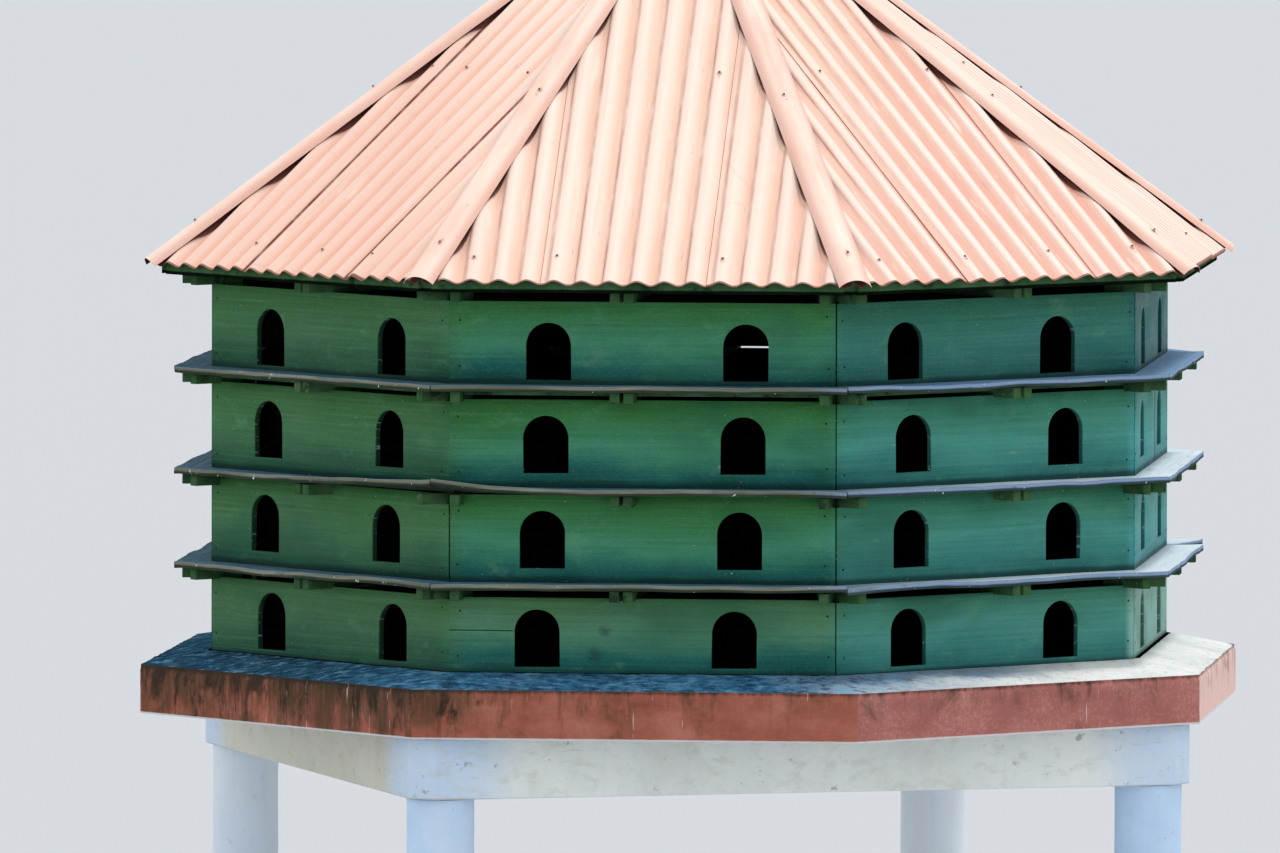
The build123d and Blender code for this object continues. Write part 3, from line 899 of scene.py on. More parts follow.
def write(piece, name, values, domain="POINT"):
    """Writes numbers or places on a mesh, for its finish to read."""
    kind, field = ("FLOAT", "value") if values.ndim == 1 else ("FLOAT_VECTOR", "vector")
    layer = piece.data.attributes.new(name, kind, domain)
    layer.data.foreach_set(field, values.astype(np.float32).ravel())


def paint_slots(piece, first, second, is_second):
    """Gives a piece two finishes, the second one on the faces that pass a test."""
    piece.data.materials.clear()
    piece.data.materials.append(first)
    piece.data.materials.append(second)
    for face in piece.data.polygons:
        face.material_index = int(is_second(face))


def dress(piece, finish, replaced=(), smooth=32.0):
    """Last steps for every piece: finish, shading, and its entry in the frame."""
    if finish is not None:
        piece.data.materials.clear()
        piece.data.materials.append(finish)
    only(piece)
    bpy.ops.object.shade_smooth_by_angle(angle=math.radians(smooth))
    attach(piece, "root")
    if replaced:
        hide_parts(*replaced)
    triangles = sum(len(face.vertices) - 2 for face in piece.data.polygons)
    print(piece.name, triangles, "triangles")


print("helpers for whole pieces ready")

# %% [markdown]
# A CAD node comes as loose triangles. A piece that only needs softer edges starts as a
# copy of its node: the copy's triangles are merged, flat areas are dissolved back into
# single faces, and a small bevel takes the razor edge off, as sanding and weather do.

# %% Soft-edged copies of CAD nodes
def merged_copy(name, source):
    piece = copy_of(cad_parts[source], name)
    edit(piece)
    select_all()
    bpy.ops.mesh.remove_doubles(threshold=0.02 * MM)
    bpy.ops.mesh.dissolve_limited(angle_limit=math.radians(1.0))
    close()
    return piece


def soften(piece, width, segments=2):
    modifier(piece, "BEVEL", width=width, segments=segments, limit_method="ANGLE",
             angle_limit=math.radians(35), use_clamp_overlap=True)


for source in ("joists_1", "joists_2", "joists_3", "joists_eave", "ledge_battens", "eave_rail"):
    timber = merged_copy("sawn_" + source, source)
    soften(timber, 1.6 * MM)
    dress(timber, timber_paint, [source])

# %% [markdown]
# What stays hidden behind the boards keeps its CAD shape and only gets a finish.

# %% Finishes for hidden timber
FRAME_TIMBER = ("corner_posts", "purlins", "roof_hub", "hip_rafters")
for source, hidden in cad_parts.items():
    if source.startswith(("shelf", "nest")) or source in FRAME_TIMBER:
        hidden.data.materials.clear()
        hidden.data.materials.append(timber_paint if source in FRAME_TIMBER else dark_timber)
print("hidden timber finished")

# %% [markdown]
# In the picture no daylight comes through the far holes on the right. So dividers between
# the nests stop it there, each a plain board set on edge on its shelf.

# %% Nest dividers
DIVIDER_OUT = 1115 * MM
DIVIDER_REACH = 290 * MM
DIVIDER_THICKNESS = 15 * MM
NEST_HEIGHTS = ((2.437, 2.634), (2.683, 2.896), (2.945, 3.180), (3.229, 3.450))
dividers = []
for low, high in NEST_HEIGHTS:
    board = start("divider", bpy.ops.mesh.primitive_cube_add, size=1,
                  location=(DIVIDER_OUT, 0, (low + high) / 2),
                  scale=(DIVIDER_REACH, DIVIDER_THICKNESS, high - low))
    soften(board, 1.0 * MM)
    dividers.append(board)
dress(joined(dividers, "nest_dividers"), dark_timber)

# %% [markdown]
# The four columns were cast in round forms and limewashed, so they are nearly true
# cylinders with shallow hollows. A circle is extruded up in short steps, which leaves
# enough rings for the hollows. A plain cylinder would have none between its two ends.

# %% Columns
COLUMN_RADIUS = 95 * MM
COLUMN_HEIGHT = 2090 * MM
RINGS = 22


def column(name, angle):
    piece = start(name, bpy.ops.mesh.primitive_circle_add, vertices=64, radius=COLUMN_RADIUS,
                  fill_type="NGON", location=(0, -COLUMN_REACH, 0))
    edit(piece, "FACE")
    select_all()
    for _ in range(RINGS):
        extrude(0, 0, COLUMN_HEIGHT / RINGS)
    close_outwards()
    turned(piece, angle)
    uneven(piece, 0.25, 5 * MM, middle=1.0)
    return piece


for number, quarter in enumerate(QUARTER_NAMES):
    shaft = column("column_shaft_" + quarter, -HALF + number * math.tau / 4)
    dress(shaft, column_wash, ["column_" + quarter])

# %% [markdown]
# The beams and their mitres are right in the CAD. Formwork leaves a beam with blunt
# arrises, so a merged copy gets a wide bevel. A modifier would also bevel the mitres and
# show a groove between two beams that were cast in one go, so the edges are picked.

# %% Beams
def on_mitre(vertex):
    turns = (math.atan2(vertex.co.x, -vertex.co.y) + HALF) / (math.tau / 4)
    return abs(turns - round(turns)) < 0.002


def blunt_arrises(piece):
    """Bevels every arris but those of the two mitred ends, where the next beam carries on."""
    edit(piece, "EDGE")
    pick(piece, "EDGE", lambda e: e.calc_face_angle(0) > 0.6 and not all(map(on_mitre, e.verts)))
    bpy.ops.mesh.bevel(offset=7 * MM, segments=3, affect="EDGES")
    close()


for quarter in QUARTER_NAMES:
    lintel = merged_copy("ring_beam_" + quarter, "beam_" + quarter)
    blunt_arrises(lintel)
    dress(lintel, beam_wash, ["beam_" + quarter])

# %% [markdown]
# The slab's rim is chipped and crumbling, and that needs many small faces along the
# edge. Eight corner points are joined by an outline cut into short lengths, which is
# extruded up in thin layers, drawn in at the rim, and filled. A fine texture then pushes
# the surface in, most of all at the rim.

# %% Slab
SLAB_BOTTOM = 2260 * MM
SLAB_RIM = 2398 * MM
EDGE_LAYERS = (3, 16, 22, 22, 22, 22, 14, 8, 5, 3, 1)
TOP_STEPS = ((1.5, 0.6), (3, 0.8), (6, 1.2), (20, 3.6), (50, 9.5), (97.5, 20.3))


def slab():
    piece = start("platform_slab_cast", bpy.ops.mesh.primitive_circle_add, vertices=8,
                  radius=SLAB_CORNER, fill_type="NOTHING", location=(0, 0, SLAB_BOTTOM),
                  rotation=(0, 0, HALF))
    edit(piece, "EDGE")
    select_all()
    bpy.ops.mesh.subdivide(number_cuts=79)
    for layer in EDGE_LAYERS:
        extrude(0, 0, layer * MM)
    for inset, rise in TOP_STEPS:
        extrude(0, 0, rise * MM)
        reach = max(v.co.xy.length for v in bmesh.from_edit_mesh(piece.data).verts if v.select)
        widen(1 - inset * MM / math.cos(HALF) / reach)
    bpy.ops.mesh.edge_face_add()
    pick(piece, "EDGE", lambda e: e.is_boundary)
    bpy.ops.mesh.edge_face_add()
    close_outwards()
    return piece


def crumble(piece):
    """Roughens the slab, its rim most, and keeps it inside the CAD octagon."""
    rim = piece.vertex_groups.new(name="rim")
    for vertex in piece.data.vertices:
        near = abs(vertex.co.z - SLAB_RIM) < 14 * MM
        rim.add([vertex.index], 1.0 if near else 0.22, "REPLACE")
    uneven(piece, 0.05, 11 * MM, middle=0.85, group="rim")
    for vertex in piece.data.vertices:
        angle = round(math.atan2(vertex.co.x, -vertex.co.y) / STEP) * STEP
        out = Vector((math.sin(angle), -math.cos(angle), 0))
        over = vertex.co.dot(out) - SLAB_CORNER * math.cos(HALF)
        if over > 0:
            vertex.co -= out * over
        vertex.co.z = min(vertex.co.z, slab_top)


cast_slab = slab()
crumble(cast_slab)
paint_slots(cast_slab, edge_paint, top_finish,
            lambda face: face.normal.z > 0.4 and face.center.z > SLAB_RIM - 5 * MM)
print(cast_slab.name, len(cast_slab.data.vertices), "points")

# %% [markdown]
# A pattern on a side of the octagon has to run along that side. So each corner of each
# face is told which side it belongs to, and gets its place there: along the side, out
# of the wall, and up from the slab.

# %% Places measured along the sides
def remember_side_places(piece):
    mesh = piece.data
    centres = read(mesh.polygons, "center", width=3)
    side = np.round(np.arctan2(centres[:, 0], -centres[:, 1]) / STEP)
    side[side == -4] = 4
    side = np.repeat(side, read(mesh.polygons, "loop_total", np.int32))
    x, y, z = coordinates(piece)[read(mesh.loops, "vertex_index", np.int32)].T
    turn = side * -STEP
    along = x * np.cos(turn) - y * np.sin(turn)
    out = -(x * np.sin(turn) + y * np.cos(turn)) - wall_out
    write(piece, "place", np.stack([along + SIDE_SHIFT * side, out, z - slab_top], 1), "CORNER")


remember_side_places(cast_slab)
dress(cast_slab, None, ["platform_slab"])

# %% [markdown]
# Each wall face has four boards with two pigeon holes each, sawn by hand. Their merged
# copies are turned to the front, where left and right, up and out are plain axes. There
# they get a slight wobble in their outlines, bevelled edges, and their grain places, and
# are turned back.

# %% Wall boards
TIGHT_JOINTS = {(0, -1): (0, 2, 3), (7, 1): (0, 2, 3), (4, 1): (1, 2), (5, -1): (1, 2),
                (2, 1): (0, 3), (3, -1): (0, 3)}
HOLE_SHIFTS = (-18, -4, 5, 12)
TIER_APART = 0.37
SIDE_APART = 2.1
SEAM_GAP = 2.1 * MM


def close_seams(piece, number):
    """Moves a board's end out to its neighbour where the real joint is tight."""
    for vertex in piece.data.vertices:
        end = 1 if vertex.co.x > 0 else -1
        tier = sum(vertex.co.z > floor - 5 * MM for floor in tier_floors[1:])
        from_corner = -vertex.co.y * math.tan(HALF) - abs(vertex.co.x)
        if tier in TIGHT_JOINTS.get((number, end), ()) and from_corner < 4 * MM:
            vertex.co.x += end * SEAM_GAP


def mark_boards(piece, number):
    """Measures each point from its own board's floor and from the middle of its holes."""
    place = coordinates(piece).copy()
    tier = np.searchsorted(np.array(tier_floors[1:]) - 0.004, place[:, 2], side="right")
    write(piece, "depth", place[:, 1] + np.float32(wall_out))
    place[:, 2] -= np.array(tier_floors)[tier]
    place[:, 0] -= np.array([HOLE_SHIFTS[(t + number) % 4] * MM for t in range(4)])[tier]
    place[:, 1] += TIER_APART * tier + SIDE_APART * number
    write(piece, "place", place)


def wall_boards(number, side):
    piece = merged_copy("boards_" + side, "wall_" + side)
    turned(piece, -number * STEP)
    close_seams(piece, number)
    uneven(piece, 0.09, 3.2 * MM, "X")
    uneven(piece, 0.12, 2.6 * MM, "Z")
    soften(piece, 0.9 * MM)
    paint_slots(piece, board_paint, dark_timber, lambda face: face.normal.y > 0.7)
    mark_boards(piece, number)
    return turned(piece, number * STEP)


for number, side in enumerate(SIDE_NAMES):
    dress(wall_boards(number, side), None, ["wall_" + side])

# %% [markdown]
# The landing ledges are thin planks that have warped between their joists, and use
# and weather have chewed their outer edges. A plank is one front solid of the CAD node,
# cut across every centimetre so that it can bend. Warp acts more at the outer edge, and
# fine chips only there.

# %% Landing ledges
LEDGE_WIDTH = 100 * MM
LEDGE_THICKNESS = 17 * MM
LIFTED_ENDS = {(2, 0): (-1, 26, 0.4), (2, 7): (1, 27, 0.85), (1, 0): (1, 5, 0.3),
               (3, 1): (-1, 7, 0.35), (1, 3): (-1, 12, 0.35), (2, 5): (1, 9, 0.3),
               (3, 6): (-1, 8, 0.3)}


def plank_pattern(level):
    """The front plank of a ledge, cut every centimetre so that it can bend."""
    piece = merged_copy(f"landing_ledge_{level}", f"ledge_{level}")
    edit(piece)
    pick(piece, "VERT", lambda v: abs(math.atan2(v.co.x, -v.co.y)) > HALF)
    bpy.ops.mesh.delete(type="VERT")
    for n in range(-57, 58):
        cut((n * 10 * MM, 0, 0), (1, 0, 0))
    cut((0, 0, tier_floors[level] - LEDGE_THICKNESS / 2), (0, 0, 1))
    for inside in (2, 6, 14, 40, 75):
        cut((0, inside * MM - wall_out - LEDGE_WIDTH, 0), (0, 1, 0))
    close()
    return piece


def weigh_edges(piece):
    """Vertex groups for the warp, which grows outwards, and for the chipped outer edge."""
    warp = piece.vertex_groups.new(name="warp")
    chips = piece.vertex_groups.new(name="chips")
    for vertex in piece.data.vertices:
        out = -vertex.co.y - wall_out
        warp.add([vertex.index], min(1.0, max(0.0, out / LEDGE_WIDTH)), "REPLACE")
        chips.add([vertex.index], min(1.0, max(0.0, (out - 88 * MM) / (12 * MM))), "REPLACE")


def lift_end(piece, sign, height, length):
    """Curls one outer corner of a plank up, where its nails have let go."""
    for vertex in piece.data.vertices:
        out = max(0.0, (-vertex.co.y - wall_out) / LEDGE_WIDTH)
        from_end = 575 * MM - sign * vertex.co.x
        share = max(0.0, 1 - from_end / length)
        vertex.co.z += height * MM * share * share * min(1.0, out)


def plank(pattern, level, number):
    piece = copy_of(pattern, f"plank_{level}_{number}")
    weigh_edges(piece)
    aside = Vector((4.1 * number + 1.3 * level, 0, 0.7 * level))
    write(piece, "place", coordinates(piece) - np.array((-aside.x, 0, tier_floors[level])))
    uneven(piece, 0.33, 15 * MM, "Z", 0.42, "warp", aside)
    uneven(piece, 0.03, 6 * MM, "Y", 0.45, "chips", aside)
    if (level, number) in LIFTED_ENDS:
        lift_end(piece, *LIFTED_ENDS[level, number])
    return turned(piece, number * STEP)


for level in (1, 2, 3):
    pattern = plank_pattern(level)
    planks = [plank(pattern, level, number) for number in range(SIDES)]
    bpy.data.objects.remove(pattern)
    ledge = joined(planks, f"landing_ledge_{level}")
    dress(ledge, ledge_finish, [f"ledge_{level}"], smooth=40.0)

# %% [markdown]
# Corrugated sheet is one wave repeated. A flat strip is extruded up the slope in steps,
# short ones near the two rows of screws where rust will need them. Its columns of points
# are raised along a cosine, and an Array modifier repeats it one pitch further across, so
# the waves of a sheet keep the exact pitch of the CAD node.

# %% One wave of sheet
WAVE = 8.1 * MM
SHEET = 0.8 * MM
EAVE_OUT = wall_out + 156 * MM
EAVE_Z = 3513 * MM
ROOF_RISE = 1115 * MM
SLOPE = math.atan2(ROOF_RISE, EAVE_OUT)
COLUMNS = 10
EAVE_SCREW_ROW = 0.10
PURLIN_SCREW_ROW = 0.89


def row_places():
    """How far up the slope each row of points lies."""
    rows = [n * 0.1 for n in range(1, 18)] + [math.hypot(EAVE_OUT, ROOF_RISE)]
    for screw in (EAVE_SCREW_ROW, PURLIN_SCREW_ROW):
        rows += [screw + step * MM for step in range(-96, 25, 12)]
    kept = [0.0]
    for row in sorted(rows):
        if row - kept[-1] > 8 * MM:
            kept.append(row)
    return kept


def one_wave():
    rows = row_places()
    piece = start("wave", bpy.ops.mesh.primitive_grid_add, size=1,
                  x_subdivisions=COLUMNS, y_subdivisions=1)
    edit(piece)
    select_all()
    bpy.ops.transform.resize(value=(PITCH, rows[1], 1), center_override=(0, 0, 0))
    move(PITCH / 2, rows[1] / 2, 0)
    pick(piece, "VERT", lambda v: v.co.y > rows[1] / 2)
    for low, high in zip(rows[1:], rows[2:]):
        extrude(0, high - low, 0)
    for column_number in range(COLUMNS + 1):
        x = column_number * PITCH / COLUMNS
        pick(piece, "VERT", lambda v: abs(v.co.x - x) < 1 * MM)
        move(0, 0, WAVE * math.cos(math.tau * column_number / COLUMNS))
    close()
    return piece


wave_strip = one_wave()
print("one wave", len(wave_strip.data.vertices), "points")

# %% [markdown]
# A slope is covered by three sheets. Each next sheet lies over the last wave of the one
# before it, so its edge shows as a fine step in a trough, and the scallops are doubled
# there at the eave. No sheet was laid quite level, so each starts a few millimetres up
# or down. The hips are cut after the sheet lies on the roof, because both hip planes
# stand upright.

# %% Roof sheets
on_slope = Matrix.Translation((0, -EAVE_OUT, EAVE_Z)) @ Matrix.Rotation(SLOPE, 4, "X")
LAPS = {0: (-3.5, 2.5), 1: (-2.5, 3.5), 2: (-3.5, 2.5), 3: (-1.5, 4.5),
        4: (-2.5, 3.5), 5: (-3.5, 2.5), 6: (-4.5, 1.5), 7: (-2.5, 3.5)}
LAP_FINENESS = {0: 8.0, 1: 14.0, 4: 1.0, 7: 1.0}


def flat_sheet(first, last):
    """A flat sheet between two edges, counted in waves from the middle of the slope."""
    piece = copy_of(wave_strip, "sheet")
    modifier(piece, "ARRAY", count=math.ceil(last) - math.floor(first), use_relative_offset=False,
             use_constant_offset=True, constant_offset_displace=(PITCH, 0, 0),
             use_merge_vertices=True, merge_threshold=0.1 * MM)
    moved(piece, math.floor(first) * PITCH, 0, 0)
    edit(piece)
    cut((last * PITCH, 0, 0), (1, 0, 0), clear=True)
    cut((first * PITCH, 0, 0), (-1, 0, 0), clear=True)
    close()
    return piece


def raise_lap(piece, first):
    """Lifts the lapping wave over the sheet below it, and its free edge a little more."""
    edit(piece)
    for waves, height in ((1.02, 1.1), (0.12, 1.6)):
        pick(piece, "VERT", lambda v: v.co.x < (first + waves) * PITCH)
        move(0, 0, height * MM)
    close()


def cut_hips(piece):
    """Trims a sheet of the front slope along both hips and near the top."""
    gap = 6 * MM / math.sin(HALF)
    edit(piece)
    for sign in (-1, 1):
        cut((0, -gap, 0), (sign * math.cos(HALF), math.sin(HALF), 0), clear=True)
    cut((0, -70 * MM, 0), (0, 1, 0), clear=True)
    close()


print("roof runs up at", round(math.degrees(SLOPE), 1), "degrees")

# %% [markdown]
# The paint needs to know where things are on a sheet, so distances are written on its
# points: to the nearest lap, to the nearer hip, and to the screws. Only some crests carry
# a screw. Its exact place and how much rust it has bled are drawn by chance.

# %% Marks for the roof paint, and the screws' places
SEEN_SCREWS = {0: ([-6, -3, 3], [-5, 2]), 1: ([-6, -2, 2, 6], [-2, 3]), 2: ([2], [1]),
               7: ([-7, -3, 1, 4], [-3, -1])}


def mark_laps(piece, edges, fine):
    """Writes how far each point lies from the nearest free edge of a lapping sheet."""
    across = coordinates(piece)[:, 0]
    away = np.stack([across - edge * PITCH for edge in edges])
    write(piece, "lap", away[np.abs(away).argmin(0), np.arange(len(across))] * fine)


def mark_hips(piece):
    """Writes how far each point lies from the upright plane of the nearer hip."""
    points = coordinates(piece)
    write(piece, "hip", -points[:, 1] * math.sin(HALF) - np.abs(points[:, 0]) * math.cos(HALF))


def mark_rust(piece, screws):
    """Writes how near a screw is, with a tail down the slope where rain carries rust."""
    place = read(piece.data.attributes["place"].data, "vector", width=3)
    rust = np.zeros(len(place))
    for x, y, amount in screws:
        down = y - place[:, 1]
        spread = np.where(down > 0, 0.03, 0.011)
        near = np.exp(-((place[:, 0] - x) / 0.010) ** 2 - (down / spread) ** 2)
        rust = np.maximum(rust, near * amount)
    write(piece, "rust", rust)


def slope_screws(number):
    """Places up the crests that carry a screw, near the eave and at the purlin."""
    eave, purlin = SEEN_SCREWS.get(number, ([-6, -3, 0, 3, 6], [-3, 0, 3]))
    screws = []
    for crests, row in ((eave, EAVE_SCREW_ROW), (purlin, PURLIN_SCREW_ROW)):
        for crest in crests:
            jitter = chance.uniform(-8, 8) * MM
            screws.append((crest * PITCH, row + jitter, chance.uniform(0.3, 0.95)))
    return screws


screw_table = {number: slope_screws(number) for number in range(SIDES)}
print(sum(map(len, screw_table.values())), "screws on the slopes")

# %% [markdown]
# A sheet gets its dents while it is flat, then its marks, its place on the slope, its
# cuts along the hips, and last its thickness, which then follows everything before it.

# %% Roof slopes
def roof_slope(number, side):
    first_lap, second_lap = LAPS[number]
    spans = ((-8, first_lap + 1), (first_lap, second_lap + 1), (second_lap, 8))
    sheets = []
    for order, (first, last) in enumerate(spans):
        sheet = flat_sheet(first, last)
        if order:
            raise_lap(sheet, first)
        slip = chance.uniform(-4, 4) * MM
        uneven(sheet, 0.4, 4.5 * MM, "Z", 0.4, aside=(3.7 * number + 1.9 * order, 0, 0))
        write(sheet, "place", coordinates(sheet))
        mark_laps(sheet, LAPS[number], LAP_FINENESS.get(number, 3.5))
        mark_rust(sheet, screw_table[number])
        sheet.data.transform(on_slope @ Matrix.Translation((0, slip, 0)))
        cut_hips(sheet)
        mark_hips(sheet)
        modifier(sheet, "SOLIDIFY", thickness=SHEET, offset=0.0)
        sheets.append(sheet)
    return turned(joined(sheets, "roof_sheets_" + side), number * STEP)


for number, side in enumerate(SIDE_NAMES):
    dress(roof_slope(number, side), sheet_paint, ["roof_" + side], smooth=60.0)

# %% [markdown]
# Each hip is covered by two lengths of folded cap, the upper one over the lower one. A
# cap is an edge spun into a shallow arc and extruded along the hip. It rests on the
# crests of both slopes, so each trough leaves a dark gap under it, as on the real roof.

# %% Hip caps
EAVE_CORNER = EAVE_OUT / math.cos(HALF)
HIP_SLOPE = math.atan2(ROOF_RISE, EAVE_CORNER)
face_normal = (math.sin(SLOPE) * math.cos(HALF) * math.sin(HIP_SLOPE)
               + math.cos(SLOPE) * math.cos(HIP_SLOPE))
hip_fall = math.sin(SLOPE) * math.sin(HALF) / face_normal
crest_line = (WAVE + SHEET / 2) / face_normal
CAP_HALF = 46 * MM
CAP_LIFT = 1.3 * MM
cap_edge = crest_line - CAP_HALF * hip_fall + 2.6 * MM
cap_crown = crest_line + 17.0 * MM
on_hip = Matrix.Translation((0, -EAVE_CORNER, EAVE_Z)) @ Matrix.Rotation(HIP_SLOPE, 4, "X")
hip_length = (EAVE_CORNER - 120 * MM) / math.cos(HIP_SLOPE)


def cap_length(first, last):
    """One length of cap in its own frame: X across the hip, Y up it, Z away from it."""
    sag = cap_crown - cap_edge
    radius = (CAP_HALF ** 2 + sag ** 2) / (2 * sag)
    sweep = 2 * math.asin(CAP_HALF / radius)
    steps = max(2, round((last - first) / (40 * MM)))
    piece = start("cap", bpy.ops.mesh.primitive_plane_add, size=1)
    edit(piece)
    pick(piece, "VERT", lambda v: v.co.x > 0)
    bpy.ops.mesh.delete(type="VERT")
    select_all()
    bpy.ops.mesh.merge(type="CENTER")
    select_all()
    move(0.5 - CAP_HALF, first, cap_edge)
    bpy.ops.mesh.spin(steps=14, angle=-sweep, center=(0, first, cap_crown - radius), axis=(0, 1, 0))
    select_all()
    for _ in range(steps):
        extrude(0, (last - first) / steps, 0)
    close_outwards()
    return piece


print("a cap is", round((cap_crown - cap_edge) / MM, 1), "mm high and", 2 * CAP_HALF / MM, "mm wide")

# %% [markdown]
# Each length has its own dents and its share of rust. At its upper end a cap is pressed
# down, so that the cone over the apex can cover it. Its underside has old, dark paint,
# which is also painted shade.

# %% Hip caps in their places
CAP_SHIFT = 2.2
CAP_SCREW_ROWS = (0.13, 0.80, 1.33)


def hip_cap(number):
    lap = 1.3 + chance.uniform(-0.05, 0.05)
    lengths = []
    for order, (first, last) in enumerate(((-8 * MM, lap + 0.06), (lap, hip_length))):
        piece = moved(cap_length(first, last), 0, 0, order * CAP_LIFT)
        uneven(piece, 0.22, 4 * MM, "Z", 0.35, aside=(2.9 * number, 0, 0.8 * order))
        for vertex in piece.data.vertices:
            vertex.co.z -= 6 * MM * min(1.0, max(0.0, (vertex.co.y - hip_length) / 0.25 + 1.3))
        piece.data.materials.append(ridge_paint)
        piece.data.materials.append(under_cap)
        modifier(piece, "SOLIDIFY", thickness=1.0 * MM, offset=0.0, material_offset=1)
        write(piece, "place", coordinates(piece) + np.array((0, CAP_SHIFT * number, 0)))
        mark_rust(piece, [(x, y + CAP_SHIFT * number, 0.9) for x, y in cap_screws[number]])
        piece.data.transform(on_hip)
        lengths.append(turned(piece, (number + 0.5) * STEP))
    return lengths


cap_screws = {number: [(chance.uniform(-14, 14) * MM, row + chance.uniform(-0.04, 0.04))
                       for row in CAP_SCREW_ROWS] for number in range(SIDES)}
caps = joined([length for number in range(SIDES) for length in hip_cap(number)], "hip_cappings")
dress(caps, None, ["hip_caps"], smooth=50.0)

# %% [markdown]
# A plain sheet cone closes the roof where the eight hips meet. It starts as a cone
# without its base, gets a rolled rim by extruding the rim out and down, and then its
# thickness.

# %% Apex cap
APEX_RADIUS = 210 * MM
APEX_SHEET = 1.2 * MM
ROLLED_RIM = ((2.5, 0.6), (1.2, 2.2), (-1.6, 1.6))


def apex_cone():
    crown = crest_line + 15 * MM
    top = EAVE_Z + ROOF_RISE + (crown + 0.3 * MM + APEX_SHEET) / math.cos(HIP_SLOPE)
    drop = APEX_RADIUS * math.tan(HIP_SLOPE)
    piece = start("apex_cone", bpy.ops.mesh.primitive_cone_add, vertices=64, radius1=APEX_RADIUS,
                  depth=drop, end_fill_type="NOTHING", location=(0, 0, top - drop / 2))
    edit(piece, "EDGE")
    pick(piece, "EDGE", lambda e: e.is_boundary)
    for out, down in ROLLED_RIM:
        extrude(0, 0, -down * MM)
        widen(1 + out * MM / APEX_RADIUS)
    for height in (0.25, 0.5, 0.75):
        cut((0, 0, top - drop * height), (0, 0, 1))
    close_outwards()
    modifier(piece, "SOLIDIFY", thickness=APEX_SHEET, offset=-1.0)
    write(piece, "place", coordinates(piece) * np.array((0.08, 1, 1)))
    write(piece, "rust", np.zeros(len(piece.data.vertices)))
    return piece


dress(apex_cone(), ridge_paint, ["apex_cap"], smooth=50.0)

# %% [markdown]
# Nails and screws are tiny, but they give the eye the scale of everything else. One head
# is modelled, with a washer for the roof, and copied to each place. They are joined into
# one piece for each kind, as loose copies by the hundred would only slow Blender down.

# %% Nail and screw heads
def head(radius, height, sides=8):
    """A low round head that stands on z = 0, with a domed top."""
    piece = start("head", bpy.ops.mesh.primitive_cylinder_add, vertices=sides, radius=radius,
                  depth=height, location=(0, 0, height / 2))
    edit(piece, "FACE")
    pick(piece, "FACE", lambda f: f.normal.z > 0.9)
    bpy.ops.mesh.inset(thickness=radius * 0.35)
    move(0, 0, height * 0.35)
    close()
    return piece


def scatter(pattern, matrices, name):
    """A copy of the pattern at each place, all joined into one piece."""
    copies = [copy_of(pattern, name) for _ in matrices]
    for made, matrix in zip(copies, matrices):
        made.data.transform(matrix)
    bpy.data.objects.remove(pattern)
    return joined(copies, name)


def side_turn(number):
    return Matrix.Rotation(number * STEP, 4, "Z")


print("heads ready")

# %% [markdown]
# Two nails hold each end of a board, never quite in line.

# %% Nails in the boards
BOARD_HEIGHTS = (206, 235, 243, 229)
NAIL_FROM_END = 0.026
out_of_wall = Matrix.Rotation(math.pi / 2, 4, "X")
nail_places = []
for number in range(SIDES):
    for tier, tall in enumerate(BOARD_HEIGHTS):
        for end in (-1, 1):
            for share in (0.2, 0.8):
                x = end * (0.535 - NAIL_FROM_END + chance.uniform(-0.006, 0.006))
                z = tier_floors[tier] + tall * MM * share + chance.uniform(-0.012, 0.012)
                place = Matrix.Translation((x, -wall_out + 0.4 * MM, z))
                nail_places.append(side_turn(number) @ place @ out_of_wall)
board_nails = scatter(head(3.0 * MM, 1.0 * MM), nail_places, "board_nails")
dress(board_nails, nail_metal)

# %% [markdown]
# A roof screw is a six-sided head on a round washer. It stands square on a crest, and on
# a cap it leans with the arc, whose radius is about CAP_ARC.

# %% Screws on the roof
CAP_ARC = 57 * MM
washer = head(6.0 * MM, 1.2 * MM, 12)
hex_head = moved(head(3.0 * MM, 3.0 * MM, 6), 0, 0, 1.2 * MM)
washer.data.materials.append(washer_metal)
hex_head.data.materials.append(screw_metal)
screw_places = []
for number, screws in screw_table.items():
    for x, y, _ in screws:
        place = Matrix.Translation((x, y, WAVE + SHEET / 2 + 0.2 * MM))
        screw_places.append(side_turn(number) @ on_slope @ place)
for number, screws in cap_screws.items():
    for x, y in screws:
        lean = math.asin(x / CAP_ARC)
        place = Matrix.Translation((x, y, cap_crown - (1 - math.cos(lean)) * CAP_ARC + 1.6 * MM))
        turn = Matrix.Rotation(lean, 4, "Y")
        screw_places.append(side_turn(number + 0.5) @ on_hip @ place @ turn)
roof_screws = scatter(joined([washer, hex_head], "roof_screw"), screw_places, "roof_screws")
dress(roof_screws, None)

# %% [markdown]
# The studio is a very large pale floor, a pale sky that fills the shadows, and one soft
# lamp from the upper right, where the sun stands in the open. The floor is so large that
# it is also the backdrop of a camera that looks slightly down.

# %% Floor
bpy.data.objects.remove(wave_strip)
floor = start("studio_floor", bpy.ops.mesh.primitive_plane_add, size=900)
floor_finish = Finish("pale_floor", 0.9)
floor_finish.inputs["Base Color"].default_value = srgb(190, 192, 195)
floor.data.materials.append(floor_finish.material)
print("floor ready")

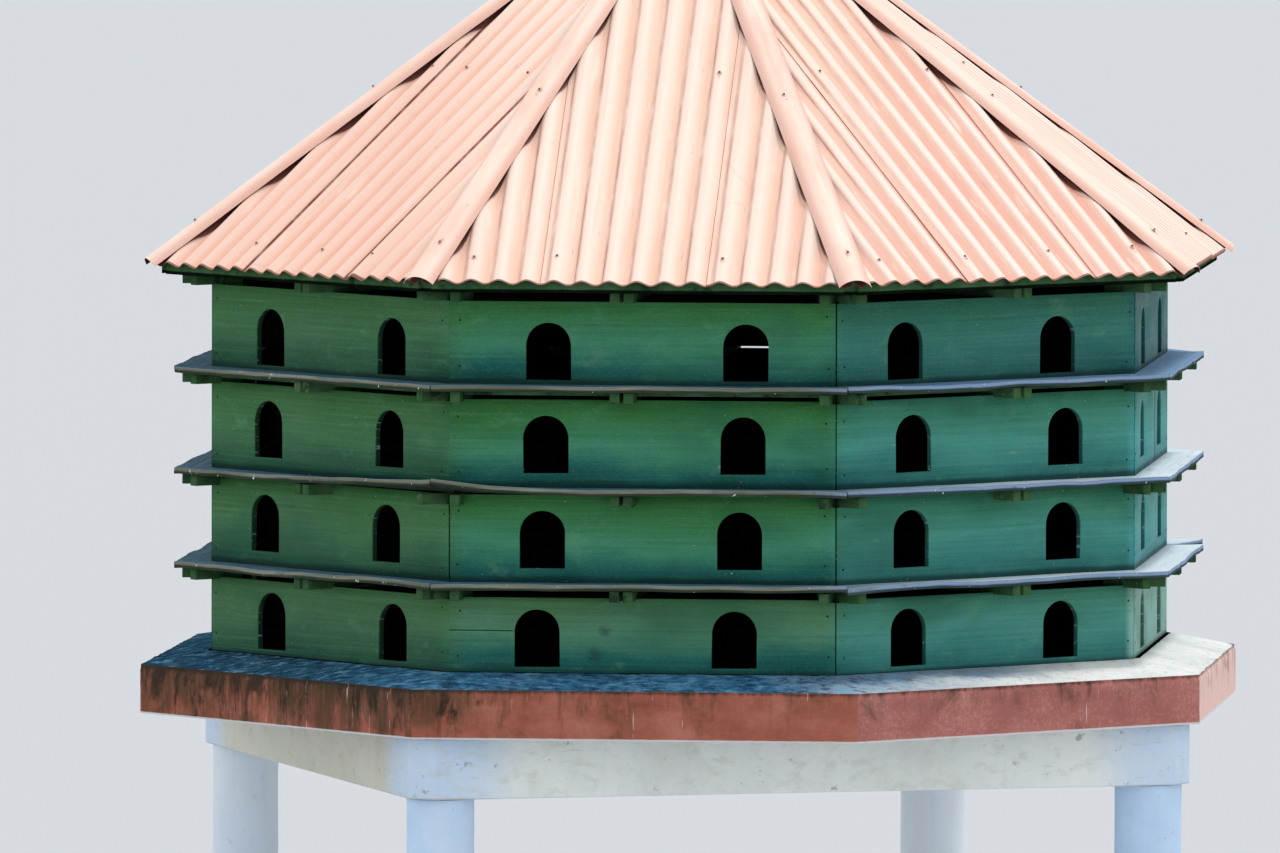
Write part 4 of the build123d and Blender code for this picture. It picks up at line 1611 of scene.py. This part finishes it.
# %% [markdown]
# The sky is a plain bluish white. The lamp is a sun lamp, whose rays are parallel, and
# its angle of nine degrees makes the edges of the shadows soft.

# %% Light
world = bpy.data.worlds.new("pale_sky")
bpy.context.scene.world = world
world.use_nodes = True
sky = world.node_tree.nodes["Background"].inputs
sky["Color"].default_value = (0.93, 0.96, 1.0, 1.0)
sky["Strength"].default_value = 1.0
key = bpy.data.objects.new("key_light", bpy.data.lights.new("key_light", "SUN"))
bpy.context.scene.collection.objects.link(key)
key.data.energy = 1.25
key.data.angle = math.radians(9)
key.data.color = (1.0, 0.985, 0.96)
key.rotation_euler = Vector((0.3, 0.22, 1.0)).to_track_quat("Z", "Y").to_euler()
print("light ready")

# %% [markdown]
# The picture was taken from far off with a long lens, a little above the ledges and a
# little to the right of the front face, so the upright lines stay upright and the sides
# hardly converge. The same camera stands 60 metres away.

# %% Camera
AZIMUTH, ELEVATION, ROLL = (math.radians(v) for v in (6.24, 3.46, 0.13))
DISTANCE = 60.0
PIXELS_PER_RADIAN = 21379.0
PICTURE_WIDTH = 1280
SENSOR_WIDTH = 36.0
back = Vector((math.sin(AZIMUTH) * math.cos(ELEVATION), -math.cos(AZIMUTH) * math.cos(ELEVATION),
               math.sin(ELEVATION)))
sideways = Vector((math.cos(AZIMUTH), math.sin(AZIMUTH), 0))
target = sideways * -0.1476 + Vector((0, 0, 3.0363))
camera = bpy.data.objects.new("camera", bpy.data.cameras.new("camera"))
bpy.context.scene.collection.objects.link(camera)
camera.location = target + back * DISTANCE
turn = back.to_track_quat("Z", "Y").to_matrix() @ Matrix.Rotation(ROLL, 3, "Z")
camera.rotation_euler = turn.to_euler()
camera.data.sensor_width = SENSOR_WIDTH
camera.data.lens = PIXELS_PER_RADIAN / PICTURE_WIDTH * SENSOR_WIDTH
camera.data.clip_end = 2000.0
bpy.context.scene.camera = camera
bpy.context.scene.view_settings.view_transform = "Standard"
print("lens", round(camera.data.lens, 1), "mm")

# %% [markdown]
# The last call brings the scene up to date.

# %% The end
bpy.context.view_layer.update()
